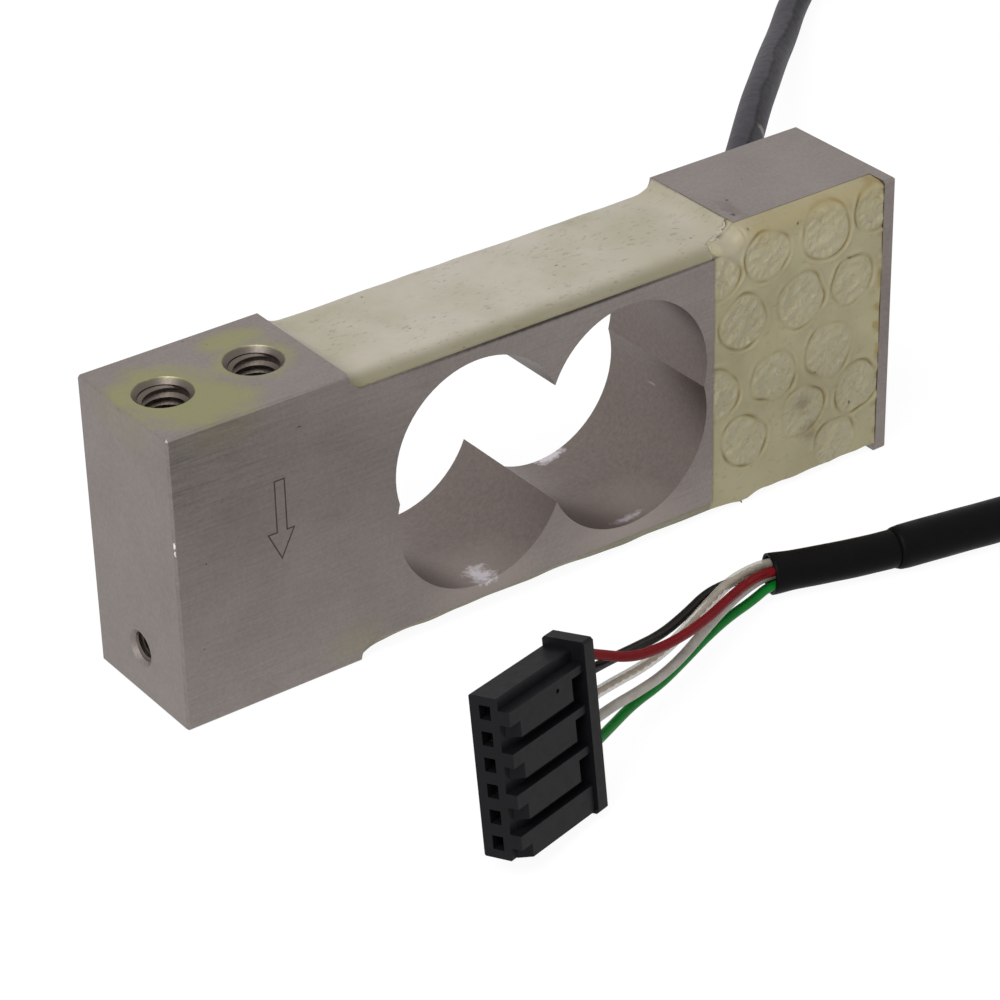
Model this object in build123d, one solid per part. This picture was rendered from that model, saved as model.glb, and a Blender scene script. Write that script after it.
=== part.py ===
from build123d import *
import math
import os

# A single-point weighing cell: a milled aluminium beam with a four-lobe window, strain gauges
# potted in its recesses, a small wiring board potted in a side pocket, and a sleeved cable
# that ends in a six-way crimp connector. Millimetres, +Z up, +X along the beam,
# +Y to the face that the cable leaves. The origin is the centre of the beam's underside.

# Beam
block_width = 16.0
block_height = 32.0
edge_break = 0.25
cut_past = 1.0
left_end_length = 20.0
right_end_length = 19.7
recess_depth = 1.9
recess_corner = 1.8
lobe_radius = 10.0
lobe_offset_x = 9.16
flexure_thickness = 1.46
recess_past_window = 5.195
recess_past_pocket = 4.295

# Side pocket for the wiring board
pocket_depth = 2.4
pocket_end_wall = 1.6
pocket_web = 1.2

# M5 mounting holes, two on top at the load end and two underneath at the fixed end
mount_inset = 4.6
mount_spacing = 10.0
mount_radius = 2.5
mount_mouth_radius = 3.04
mount_mouth_depth = 0.55
mount_depth = 10.0
drill_point_angle = 118.0

# M3 hole in the load end's face
end_hole_height = 5.4
end_hole_radius = 1.5
end_hole_mouth_radius = 1.95
end_hole_mouth_depth = 0.45
end_hole_depth = 8.0

# Strain gauges
carrier_length = 8.0
carrier_width = 6.0
carrier_thickness = 0.1
grid_length = 4.0
grid_strip_width = 0.35
grid_strip_pitch = 0.6
grid_strips = 5
grid_thickness = 0.06
grid_shift = 0.8
tab_length = 1.2
tab_width = 1.0
tab_thickness = 0.25
tab_offset_x = 2.9
tab_offset_y = 1.2

# Flat leads from the gauges to the board
lead_width = 0.3
lead_thickness = 0.2
lead_lift = 0.1
lane_pitch = 0.6
first_lane_y = -4.6
left_turn_run = 1.6
right_turn_run = 1.8
turn_stagger = 0.8
drop_inset = 0.6

# Wiring board and what it carries
board_inset = 0.3
board_length = 13.0
board_height = 18.0
board_thickness = 0.8
pad_height = 0.8
pad_drop = 1.0
pad_width = 0.45
pad_thickness = 0.3
chip_size = (2.0, 0.5, 1.25)
chip_pitch_x = 4.5
chip_pitch_z = 5.0
first_chip_x = 4.7
terminal_length = 1.0
terminal_depth = 0.9
terminal_height = 0.7

# Potting
sealant_side_gap = 0.25
upper_sealant_thickness = 0.6
lower_sealant_thickness = 1.1
sealant_climb = 2.6
sealant_end_drop = 0.15
sealant_fillet = 0.35
pocket_sealant_inset = 0.15
pocket_sealant_drop = 0.8
pocket_sealant_foot = 0.5

# Cable, its seal and its conductors
jacket_radius = 2.0
bore_clearance = 0.1
cable_inset = 4.5
cable_height = 14.5
jacket_entry = 3.4
straight_exit = 4.0
conductor_radius = 0.4
conductor_pitch = 1.0
conductor_bend = 1.5
conductor_gap = 0.05
seal_height = 1.4
seal_foot_radius = 3.4
seal_lip_radius = 2.5

# Sleeves at the far end of the cable
thin_sleeve_radius = 1.97
thin_sleeve_wall = 0.22
thick_sleeve_clearance = 0.08
thick_sleeve_wall = 0.2
thick_sleeve_trim = 2.0
end_gap = 0.05
mouth_trim = 0.5

# Wires
wire_radius = 0.5
drain_sleeve_radius = 0.55
drain_strand_radius = 0.3
drain_sleeve_bore = 0.35
wire_ring_radius = 1.08
wire_end_gap = 0.3

# Six-way connector
ways = 6
pitch = 2.54
housing_length = 13.3
housing_half_row = 7.9
housing_back = 1.63
housing_front = 1.42
rib_front = 2.6
flange_length = 1.5
flange_front = 2.93
flange_top_ear = 0.9
flange_bottom_ear = 0.35
rib_height = 2.9
rib_pitch = 4.0
rib_count = 4
rib_tongue = 1.35
mark_from_window = 2.3
mark_from_top = 1.0
rib_lead_in = 0.8
window_length = 1.9
window_height = 2.3
window_from_rib = 0.4
window_overlap = 0.2
mark_radius = 0.22
mating_hole_width = 1.2
mating_hole_height = 1.37
mating_wall = 1.0
cavity_size = 1.9
crimp_box_size = 1.7
crimp_box_length = 5.4
crimp_box_wall = 0.2
crimp_neck_size = (2.0, 0.3, 0.9)
crimp_barrel_length = 2.6
crimp_barrel_wall = 0.18
crimp_clearance = 0.03
crimp_start = 1.1
connector_origin = (-33.56, -43.13, 9.83)
connector_along = (0.9366, 0.3330, -0.1094)
connector_up = (0.0477, 0.1883, 0.9810)

# Worked-out places on the beam
half_width = block_width / 2
middle_height = block_height / 2
recess_floor = block_height - recess_depth
lobe_offset_z = middle_height - recess_depth - flexure_thickness - lobe_radius
window_reach = lobe_offset_x + math.sqrt(lobe_radius**2 - lobe_offset_z**2)
recess_length = recess_past_window + 2 * window_reach + pocket_web + recess_past_pocket
block_length = left_end_length + recess_length + right_end_length
half_length = block_length / 2
recess_left = left_end_length - half_length
recess_right = half_length - right_end_length
window_x = recess_left + recess_past_window + window_reach
pocket_left = window_x + window_reach + pocket_web
left_gauge_x = window_x - lobe_offset_x
right_gauge_x = window_x + lobe_offset_x
pocket_right = half_length - pocket_end_wall
pocket_floor = pocket_depth - half_width
bore_x = half_length - cable_inset
bore_radius = jacket_radius + bore_clearance
jacket_start = half_width - jacket_entry
board_left = pocket_left + board_inset
board_front = pocket_floor - board_thickness
board_right = board_left + board_length
board_bottom = middle_height - board_height / 2
board_top = middle_height + board_height / 2
pad_top = board_top - pad_drop
conductor_y = board_front - conductor_gap - conductor_radius

# The cable leaves the beam's back face, sinks to the bench and comes round behind the view
# to the beam's front. Its last four points also carry the two sleeves and the wires in them.
sleeve_axis = [
    (53.0, -31.0, 2.3),
    (46.5, -30.3, 2.3),
    (40.2, -29.2, 2.3),
    (34.2, -28.0, 2.3),
    (28.2, -26.9, 2.3),
    (21.9, -25.2, 2.3),
    (15.3, -22.9, 2.3),
]
jacket_end_index = 3
cable_route = [
    (bore_x, jacket_start, cable_height),
    (bore_x, half_width + straight_exit, cable_height),
    (41.9, 19.1, 14.5),
    (46.6, 25.0, 14.5),
    (52.9, 29.1, 14.4),
    (58.9, 34.8, 14.0),
    (65.0, 41.0, 13.1),
    (72.7, 48.8, 11.8),
    (80.3, 56.3, 10.0),
    (89.1, 65.3, 7.4),
    (98.8, 74.8, 4.7),
    (109.0, 84.9, 2.9),
    (119.0, 93.0, 2.1),
    (131.5, 98.6, 2.1),
    (145.0, 98.2, 2.1),
    (156.0, 90.2, 2.1),
    (160.4, 77.0, 2.1),
    (157.5, 61.5, 2.1),
    (149.5, 45.0, 2.1),
    (137.5, 28.0, 2.1),
    (123.0, 10.5, 2.1),
    (107.0, -7.0, 2.1),
    (90.0, -20.5, 2.1),
    (73.0, -28.6, 2.1),
    (62.0, -31.2, 2.2),
] + sleeve_axis[: jacket_end_index + 1]

# Free routes of the wires, from inside the connector to the sleeve's mouth
red_route = [
    (-24.4, -38.8, 15.0),
    (-19.8, -37.1, 14.5),
    (-15.9, -36.1, 12.1),
    (-12.0, -35.5, 9.9),
    (-7.6, -34.1, 8.4),
    (-3.0, -32.3, 7.2),
    (1.8, -30.0, 6.1),
    (6.6, -27.4, 5.3),
    (11.1, -25.2, 4.4),
]
black_route = [
    (-25.0, -39.4, 12.6),
    (-19.9, -37.6, 12.0),
    (-14.4, -34.8, 10.1),
    (-9.0, -32.0, 7.9),
    (-3.9, -29.7, 6.2),
    (1.2, -27.1, 5.2),
    (5.9, -24.7, 4.7),
    (10.6, -23.1, 3.4),
]
drain_route = [
    (-25.1, -39.9, 10.1),
    (-20.0, -38.1, 9.5),
    (-14.6, -35.8, 8.2),
    (-10.0, -34.0, 7.0),
    (-5.4, -32.0, 6.1),
    (-0.9, -29.7, 5.6),
    (3.8, -27.2, 5.3),
    (8.4, -24.9, 5.0),
    (12.2, -23.4, 4.2),
]
white_route = [
    (-25.2, -40.4, 7.6),
    (-20.1, -38.6, 7.0),
    (-15.1, -36.4, 6.1),
    (-11.1, -35.0, 5.3),
    (-7.0, -33.4, 4.5),
    (-2.7, -31.4, 4.0),
    (2.0, -28.9, 3.8),
    (6.5, -26.6, 3.6),
    (11.0, -24.5, 3.1),
]
green_route = [
    (-25.3, -40.8, 5.1),
    (-20.3, -39.1, 4.5),
    (-14.9, -36.0, 3.5),
    (-10.3, -33.6, 3.0),
    (-5.8, -31.9, 2.4),
    (-1.5, -29.9, 2.1),
    (3.0, -27.9, 2.1),
    (7.4, -26.2, 2.0),
    (11.3, -25.1, 1.8),
]

# Where each wire lies round the white one inside the thin sleeve, as an angle on the ring
ring_side = Vector(0.17, 0.502, 0.848)
ring_front = Vector(-0.273, -0.803, 0.53)
ring_angles = {"red": 72.0, "black": -72.0, "drain": 0.0, "green": 150.0}


def span(x, y, z):
    """A box between two values along each axis."""
    size = (x[1] - x[0], y[1] - y[0], z[1] - z[0])
    return Pos(x[0], y[0], z[0]) * Box(*size, align=Align.MIN)


def blind_hole(radius, depth, mouth_radius, mouth_depth):
    """A drilled hole with a chamfered mouth at the origin, going down."""
    tip = radius / math.tan(math.radians(drill_point_angle / 2))
    outline = Polyline(
        (0, 0),
        (mouth_radius, 0),
        (radius, -mouth_depth),
        (radius, -depth),
        (0, -depth - tip),
        close=True,
    )
    return revolve(Plane.XZ * make_face(outline), Axis.Z)


def underside(shape):
    """The same shape on the lower side of the beam."""
    return shape.mirror(Plane.XY.offset(middle_height))


def route_radii(points):
    """The largest tangent arc that the runs beside each corner allow."""
    radii = []
    for before, corner, after in zip(points, points[1:], points[2:]):
        run_in = Vector(corner) - Vector(before)
        run_out = Vector(after) - Vector(corner)
        turn = math.radians(run_in.get_angle(run_out))
        shorter = min(run_in.length, run_out.length)
        radii.append(0.45 * shorter / math.tan(turn / 2))
    return radii


def tube(name, points, radius, bore=0.0):
    """A round tube or rod along a route, with its tightest bend and volume printed."""
    radii = route_radii(points)
    path = FilletPolyline(*points, radius=radii)
    start = Plane(origin=path @ 0, z_dir=path % 0)
    section = Circle(radius)
    if bore > 0:
        section -= Circle(bore)
    solid = sweep(start * section, path=path)
    expected = section.area * path.length
    print(f"{name}: length {path.length:.1f}, radii {min(radii):.1f} to {max(radii):.0f},", end=" ")
    print(f"volume {solid.volume:.2f} of {expected:.2f}")
    return solid


def recess_cutter():
    """What is milled off the top between the two ends."""
    over = 2 * edge_break
    across = (-half_width - over, half_width + over)
    cutter = span((recess_left, recess_right), across, (recess_floor, block_height + over))
    floor_edges = cutter.edges().filter_by(Axis.Y).group_by(Axis.Z)[0]
    return fillet(floor_edges, min(recess_corner, 0.45 * recess_length))


def lobe_window():
    """Four overlapping bores through the beam, which leave the four flexures."""
    lobe = Rot(90, 0, 0) * Cylinder(lobe_radius, block_width + 2 * cut_past)
    window = None
    for side in (-1, 1):
        for level in (-1, 1):
            place = Pos(window_x + side * lobe_offset_x, 0, middle_height + level * lobe_offset_z)
            window = place * lobe if window is None else window + place * lobe
    middle = (middle_height - lobe_offset_z, middle_height + lobe_offset_z)
    across = (-half_width - cut_past, half_width + cut_past)
    return window + span((left_gauge_x, right_gauge_x), across, middle)


def spring_element():
    """The milled beam."""
    beam = span((-half_length, half_length), (-half_width, half_width), (0, block_height))
    beam = chamfer(beam.edges(), edge_break)
    beam -= recess_cutter()
    beam -= underside(recess_cutter())
    beam -= lobe_window()
    pocket_depths = (-half_width - cut_past, pocket_floor)
    beam -= span((pocket_left, pocket_right), pocket_depths, (-cut_past, block_height + cut_past))
    mount_hole = blind_hole(mount_radius, mount_depth, mount_mouth_radius, mount_mouth_depth)
    for index in range(2):
        hole_x = half_length - mount_inset - index * mount_spacing
        beam -= Pos(-hole_x, 0, block_height) * mount_hole
        beam -= underside(Pos(hole_x, 0, block_height) * mount_hole)
    end_hole = blind_hole(end_hole_radius, end_hole_depth, end_hole_mouth_radius, end_hole_mouth_depth)
    beam -= Pos(-half_length, 0, end_hole_height) * Rot(0, -90, 0) * end_hole
    bore_length = half_width - pocket_floor + 2 * cut_past
    bore = Rot(90, 0, 0) * Cylinder(bore_radius, bore_length)
    return beam - Pos(bore_x, (half_width + pocket_floor) / 2, cable_height) * bore


def strain_gauge(gauge_x):
    """A foil gauge on its carrier, with two solder tabs at its right end."""
    seated = (Align.CENTER, Align.CENTER, Align.MIN)
    top = recess_floor + carrier_thickness
    half = carrier_length / 2
    across = (-carrier_width / 2, carrier_width / 2)
    gauge = span((gauge_x - half, gauge_x + half), across, (recess_floor, top))
    for index in range(grid_strips):
        strip_y = (index - (grid_strips - 1) / 2) * grid_strip_pitch
        strip = Box(grid_length, grid_strip_width, grid_thickness, align=seated)
        gauge += Pos(gauge_x - grid_shift, strip_y, top) * strip
    tab = Box(tab_length, tab_width, tab_thickness, align=seated)
    for side in (-1, 1):
        gauge += Pos(gauge_x + tab_offset_x, side * tab_offset_y, top) * tab
    return gauge


def flat_run(start, end):
    """One straight stretch of a flat lead on the recess floor, with square ends."""
    half = lead_width / 2
    level = recess_floor + lead_lift
    return span(
        (min(start[0], end[0]) - half, max(start[0], end[0]) + half),
        (min(start[1], end[1]) - half, max(start[1], end[1]) + half),
        (level, level + lead_thickness),
    )


def gauge_lead(gauge_x, tab_side, turn_x, lane):
    """A flat lead from a gauge's tab along its lane, over the pocket's edge and down the board."""
    tab_y = tab_side * tab_offset_y
    lane_y = first_lane_y + lane * lane_pitch
    start_x = gauge_x + tab_offset_x + (tab_length + lead_width) / 2
    drop_x = board_left + drop_inset + lane * lane_pitch
    drop_y = board_front - lead_thickness / 2 - lead_lift / 2
    lead = flat_run((start_x, tab_y), (turn_x, tab_y))
    lead += flat_run((turn_x, tab_y), (turn_x, lane_y))
    lead += flat_run((turn_x, lane_y), (drop_x, lane_y))
    lead += flat_run((drop_x, lane_y), (drop_x, drop_y))
    half = lead_width / 2
    drop = (drop_y - lead_thickness / 2, drop_y + lead_thickness / 2)
    level = recess_floor + lead_lift + lead_thickness
    return lead + span((drop_x - half, drop_x + half), drop, (pad_top, level))


def gauge_leads():
    """The four leads of the two upper gauges."""
    leads = []
    for gauge_x, turn_run, lanes in (
        (left_gauge_x, left_turn_run, (0, 1)),
        (right_gauge_x, right_turn_run, (2, 3)),
    ):
        for index, lane in enumerate(lanes):
            turn_x = gauge_x + tab_offset_x + tab_length / 2 + turn_run + index * turn_stagger
            leads.append(gauge_lead(gauge_x, (-1, 1)[index], turn_x, lane))
    return leads


def wiring_board():
    """The bare board, glued to the pocket's floor."""
    return span((board_left, board_right), (board_front, pocket_floor), (board_bottom, board_top))


def board_resistors():
    """Four trimming resistors in two rows."""
    length, depth, height = chip_size
    chips = []
    for column in range(2):
        for row in (-1, 1):
            chip_x = board_left + first_chip_x + column * chip_pitch_x
            chip = Box(length, depth, height, align=(Align.CENTER, Align.MAX, Align.CENTER))
            chips.append(Pos(chip_x, board_front, middle_height + row * chip_pitch_z / 2) * chip)
    return chips


def conductor_heights():
    """Where the four conductors lie, one over another across the cable."""
    return [cable_height + (index - 1.5) * conductor_pitch for index in range(4)]


def board_terminals():
    """Solder pads under the gauge leads and four posts for the cable's conductors."""
    terminals = []
    for lane in range(4):
        pad_x = board_left + drop_inset + lane * lane_pitch
        half = pad_width / 2
        depth = (board_front - pad_thickness, board_front)
        pad = span((pad_x - half, pad_x + half), depth, (pad_top - pad_height, pad_top))
        terminals += [pad, underside(pad)]
    seated = (Align.MAX, Align.MAX, Align.CENTER)
    for height in conductor_heights():
        post = Box(terminal_length, terminal_depth, terminal_height, align=seated)
        terminals.append(Pos(board_right, board_front, height) * post)
    return terminals


def pocket_conductors():
    """Four insulated conductors from the jacket's end through the bore to the posts."""
    conductors = []
    for height in conductor_heights():
        start = (bore_x, jacket_start, height)
        corner = (bore_x, conductor_y, height)
        path = FilletPolyline(start, corner, (board_right, conductor_y, height), radius=conductor_bend)
        section = Plane(origin=start, z_dir=(0, -1, 0)) * Circle(conductor_radius)
        conductors.append(sweep(section, path=path))
    return conductors


def recess_sealant(thickness, inner_pieces):
    """The potting over the upper gauges: thin on the recess floor, climbing both of its ends."""
    across = (sealant_side_gap - half_width, half_width - sealant_side_gap)
    top = recess_floor + thickness
    slab = span((recess_left, recess_right), across, (recess_floor, block_height - sealant_end_drop))
    slab &= recess_cutter()
    hollow = span((recess_left, recess_right), across, (top, top + 2 * sealant_climb))
    slab -= fillet(hollow.edges().filter_by(Axis.Y).group_by(Axis.Z)[0], sealant_climb)
    long_edges = slab.edges().filter_by(Axis.X).filter_by(lambda edge: edge.length > recess_length / 2)
    slab = fillet(long_edges.group_by(Axis.Z)[-1], sealant_fillet)
    for piece in inner_pieces:
        slab -= piece
    return slab


def conductor_space():
    """The room that the conductors take in the potting, with their bend."""
    reach = 1.5 * conductor_pitch + conductor_radius
    outside = conductor_radius + conductor_gap
    return span(
        (board_right, bore_x + outside),
        (conductor_y - outside, pocket_floor),
        (cable_height - reach, cable_height + reach),
    )


def pocket_sealant(inner_pieces):
    """The potting over the wiring board."""
    front = pocket_sealant_inset - half_width
    top = block_height - pocket_sealant_drop
    fill = span((pocket_left, pocket_right), (front, pocket_floor), (pocket_sealant_foot, top))
    fill = fillet(fill.faces().sort_by(Axis.Y)[0].edges(), sealant_fillet)
    fill -= recess_cutter()
    fill -= underside(recess_cutter())
    for piece in inner_pieces:
        fill -= piece
    return fill


def cable_seal():
    """A bead of silicone round the cable where it leaves the beam."""
    outline = Polyline(
        (bore_radius, 0),
        (seal_foot_radius, 0),
        (seal_lip_radius, seal_height),
        (bore_radius, seal_height),
        close=True,
    )
    bead = revolve(Plane.XZ * make_face(outline), Axis.Z)
    return Pos(bore_x, half_width, cable_height) * Rot(-90, 0, 0) * bead


def ring_offset(name):
    """How far a wire lies from the sleeve's axis."""
    if name not in ring_angles:
        return Vector(0, 0, 0)
    angle = math.radians(ring_angles[name])
    return (ring_side * math.cos(angle) + ring_front * math.sin(angle)) * wire_ring_radius


def wire_points(name, free_route):
    """A wire's whole route: its free points, then along the sleeve to the jacket's end."""
    offset = ring_offset(name)
    inside = [Vector(point) + offset for point in reversed(sleeve_axis[jacket_end_index:])]
    last_run = (inside[-1] - inside[-2]).normalized()
    inside[-1] = inside[-1] - last_run * wire_end_gap
    return [Vector(point) for point in free_route] + inside


def sleeve_points(first, last, first_trim, last_trim=0.0):
    """Points of the sleeve's axis, with a length trimmed off each end."""
    points = [Vector(point) for point in sleeve_axis[first : last + 1]]
    start_run = (points[1] - points[0]).normalized()
    end_run = (points[-1] - points[-2]).normalized()
    points[0] = points[0] + start_run * first_trim
    points[-1] = points[-1] - end_run * last_trim
    return points


def thin_sleeve():
    """The sleeve round the wires, from the jacket's end to its open mouth."""
    points = sleeve_points(jacket_end_index, len(sleeve_axis) - 1, end_gap, mouth_trim)
    return tube("thin_sleeve", points, thin_sleeve_radius, thin_sleeve_radius - thin_sleeve_wall)


def thick_sleeve():
    """The sleeve over the joint between the jacket and the thin sleeve."""
    inner = jacket_radius + thick_sleeve_clearance
    points = sleeve_points(0, jacket_end_index + 1, thick_sleeve_trim)
    return tube("thick_sleeve", points, inner + thick_sleeve_wall, inner)


connector_frame = Plane(origin=connector_origin, x_dir=connector_along, z_dir=connector_up)


def way_heights(count):
    """Heights of the first contact positions in the connector's own frame."""
    return [(ways / 2 - 0.5 - index) * pitch for index in range(count)]


def housing_rib(index):
    """One rib on the housing's front, with its upper part square and its lower part tapered."""
    first = pitch * (ways / 2 - 0.5) + window_from_rib
    top = first - index * rib_pitch
    bottom = max(top - rib_height, -housing_half_row)
    flange_start = housing_length - flange_length
    tongue = span((0, flange_start), (-rib_front, 0), (max(top - rib_tongue, bottom), top))
    side = Polyline(
        (rib_lead_in, 0),
        (rib_lead_in, -housing_front),
        (2 * rib_lead_in, -rib_front),
        (flange_start, -rib_front),
        (flange_start, 0),
        close=True,
    )
    lower = Pos(0, 0, bottom) * extrude(make_face(side), amount=top - bottom)
    rib = tongue + lower
    if rib_window(index):
        rib -= window_cutter(top)
    if index == 0:
        mark = Rot(90, 0, 0) * Cylinder(mark_radius, 2 * mark_radius)
        rib -= Pos(flange_start - window_length - mark_from_window, -rib_front, top - mark_from_top) * mark
    return rib


def rib_window(index):
    """Whether a rib has a latch window beside it."""
    return index < rib_count - 1


def window_cutter(rib_top):
    """A latch window at a rib's flange end, open to the contact cavities."""
    end = housing_length - flange_length
    top = rib_top - 2 * window_from_rib
    depth = (-flange_front, window_overlap - cavity_size / 2)
    return span((end - window_length, end), depth, (top - window_height, top))


def connector_housing():
    """The moulded six-way housing, in its own frame."""
    half = housing_half_row
    body = span((0, housing_length), (-housing_front, housing_back), (-half, half))
    flange = span(
        (housing_length - flange_length, housing_length),
        (-flange_front, housing_back),
        (-half - flange_bottom_ear, half + flange_top_ear),
    )
    body = chamfer(body.edges().filter_by(Axis.X), edge_break / 2)
    flange = chamfer(flange.edges().filter_by(Axis.X), edge_break)
    body += flange
    for index in range(rib_count):
        body += housing_rib(index)
    first = pitch * (ways / 2 - 0.5) + window_from_rib
    for index in range(rib_count):
        if rib_window(index):
            body -= window_cutter(first - index * rib_pitch)
    for height in way_heights(ways):
        cavity = (-cavity_size / 2, cavity_size / 2)
        body -= span((mating_wall, housing_length + 1), cavity, (height + cavity[0], height + cavity[1]))
        hole_y = (-mating_hole_width / 2, mating_hole_width / 2)
        hole_z = (height - mating_hole_height / 2, height + mating_hole_height / 2)
        body -= span((-1, mating_wall + 1), hole_y, hole_z)
    return connector_frame.location * body


def crimp_contact():
    """A crimped socket: a folded box, a neck and a barrel round the wire."""
    half = crimp_box_size / 2
    inner = half - crimp_box_wall
    end = crimp_start + crimp_box_length
    contact = span((crimp_start, end), (-half, half), (-half, half))
    contact -= span((crimp_start - 1, end + 1), (-inner, inner), (-inner, inner))
    neck_length, neck_thickness, neck_height = crimp_neck_size
    barrel_bore = drain_sleeve_radius + crimp_clearance
    barrel_radius = barrel_bore + crimp_barrel_wall
    neck_back = (barrel_radius - neck_thickness, barrel_radius)
    contact += span((end - crimp_box_wall, end + neck_length), neck_back, (-neck_height / 2, neck_height / 2))
    barrel = Cylinder(barrel_radius, crimp_barrel_length) - Cylinder(barrel_bore, crimp_barrel_length + 1)
    start = end + neck_length - crimp_box_wall
    return contact + Pos(start + crimp_barrel_length / 2, 0, 0) * Rot(0, 90, 0) * barrel


def crimp_contacts():
    """One contact on each wire; the last position is empty."""
    contact = crimp_contact()
    return [connector_frame.location * (Pos(0, 0, height) * contact) for height in way_heights(ways - 1)]


def save(name, shape):
    """Write one node, as one solid or a group of separate solids."""
    if isinstance(shape, list):
        shape = Compound(children=shape)
    shape.label = name
    export_step(shape, f"parts/{name}.step")


def main():
    """Build every node and write it."""
    os.makedirs("parts", exist_ok=True)
    left = strain_gauge(left_gauge_x)
    right = strain_gauge(right_gauge_x)
    leads = gauge_leads()
    lower_leads = [underside(lead) for lead in leads]
    board = wiring_board()
    chips = board_resistors()
    terminals = board_terminals()
    conductors = pocket_conductors()
    gauge_pieces = [left, right, *leads]
    save("spring_element", spring_element())
    save("strain_gauge_upper_left", left)
    save("strain_gauge_upper_right", right)
    save("strain_gauge_lower_left", underside(left))
    save("strain_gauge_lower_right", underside(right))
    save("upper_gauge_leads", leads)
    save("lower_gauge_leads", lower_leads)
    save("wiring_board", board)
    save("board_resistors", chips)
    save("board_terminals", terminals)
    save("pocket_conductors", conductors)
    save("upper_sealant", recess_sealant(upper_sealant_thickness, gauge_pieces))
    save("lower_sealant", underside(recess_sealant(lower_sealant_thickness, gauge_pieces)))
    held = [board, *chips, *terminals, conductor_space(), *leads, *lower_leads]
    save("pocket_sealant", pocket_sealant(held))
    save("cable_seal", cable_seal())
    save("cable_jacket", tube("cable_jacket", cable_route, jacket_radius))
    save("thin_sleeve", thin_sleeve())
    save("thick_sleeve", thick_sleeve())
    for name, route in (
        ("red", red_route),
        ("black", black_route),
        ("white", white_route),
        ("green", green_route),
    ):
        save(f"{name}_wire", tube(f"{name}_wire", wire_points(name, route), wire_radius))
    drain = wire_points("drain", drain_route)
    save("drain_wire", tube("drain_wire", drain, drain_strand_radius))
    save("drain_sleeve", tube("drain_sleeve", drain, drain_sleeve_radius, drain_sleeve_bore))
    save("connector_housing", connector_housing())
    save("crimp_contacts", crimp_contacts())


main()
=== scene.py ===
"""Scene of a single-point weighing load cell with its cable and connector.

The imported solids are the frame. This script gives every surface its finish and adds the
potting's real skin, the threads, the engraved arrow, the cable, its sleeves and its wires.
Lengths are in millimetres and are turned to metres where a mesh or a curve is made.
"""
from __future__ import annotations

import logging
import math
from dataclasses import dataclass, field
from enum import Enum
from typing import Callable

import bmesh
import bpy
from mathutils import Matrix, Vector, noise

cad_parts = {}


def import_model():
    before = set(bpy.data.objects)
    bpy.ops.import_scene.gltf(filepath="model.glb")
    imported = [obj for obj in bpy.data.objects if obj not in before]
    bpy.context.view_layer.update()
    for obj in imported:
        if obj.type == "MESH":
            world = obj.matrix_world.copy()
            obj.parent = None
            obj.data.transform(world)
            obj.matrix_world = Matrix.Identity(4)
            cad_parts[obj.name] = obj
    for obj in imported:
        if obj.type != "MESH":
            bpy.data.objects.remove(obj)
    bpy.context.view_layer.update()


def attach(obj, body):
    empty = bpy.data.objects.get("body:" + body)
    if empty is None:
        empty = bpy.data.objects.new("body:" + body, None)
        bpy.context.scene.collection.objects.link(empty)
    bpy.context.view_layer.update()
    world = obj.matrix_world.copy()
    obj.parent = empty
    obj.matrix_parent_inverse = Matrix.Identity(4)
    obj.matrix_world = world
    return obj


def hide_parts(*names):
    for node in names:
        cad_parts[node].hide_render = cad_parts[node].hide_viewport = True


LOG = logging.getLogger("load_cell")
MM = 0.001
BODY = "root"

Point = tuple[float, float, float]
Colour = tuple[float, float, float, float]
Socket = bpy.types.NodeSocket


class Stiffness(Enum):
    """How stiff a cord is."""

    LIMP = "limp"
    MEDIUM = "medium"


class FarEnd(Enum):
    """What a cord ends in."""

    CONNECTOR = "connector"
    FITTING = "fitting"


class Side(Enum):
    """Which side of the beam a piece of potting lies on, as the way it faces."""

    UPPER = 1
    LOWER = -1


def linear(code: str, factor: float = 1.0) -> Colour:
    """Turn an sRGB hex value to a linear colour.

    Args:
        code: Six hex digits after a hash.
        factor: What the linear channels are multiplied by.

    Returns:
        Red, green, blue and an alpha of one.
    """
    shares = [int(code[index : index + 2], 16) / 255 for index in (1, 3, 5)]
    light = [share / 12.92 if share <= 0.04045 else ((share + 0.055) / 1.055) ** 2.4 for share in shares]
    return (*(factor * value for value in light), 1.0)


def eased(share: float) -> float:
    """A share from 0 to 1, eased at both ends and held past them."""
    share = min(max(share, 0.0), 1.0)
    return share * share * (3 - 2 * share)


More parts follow.
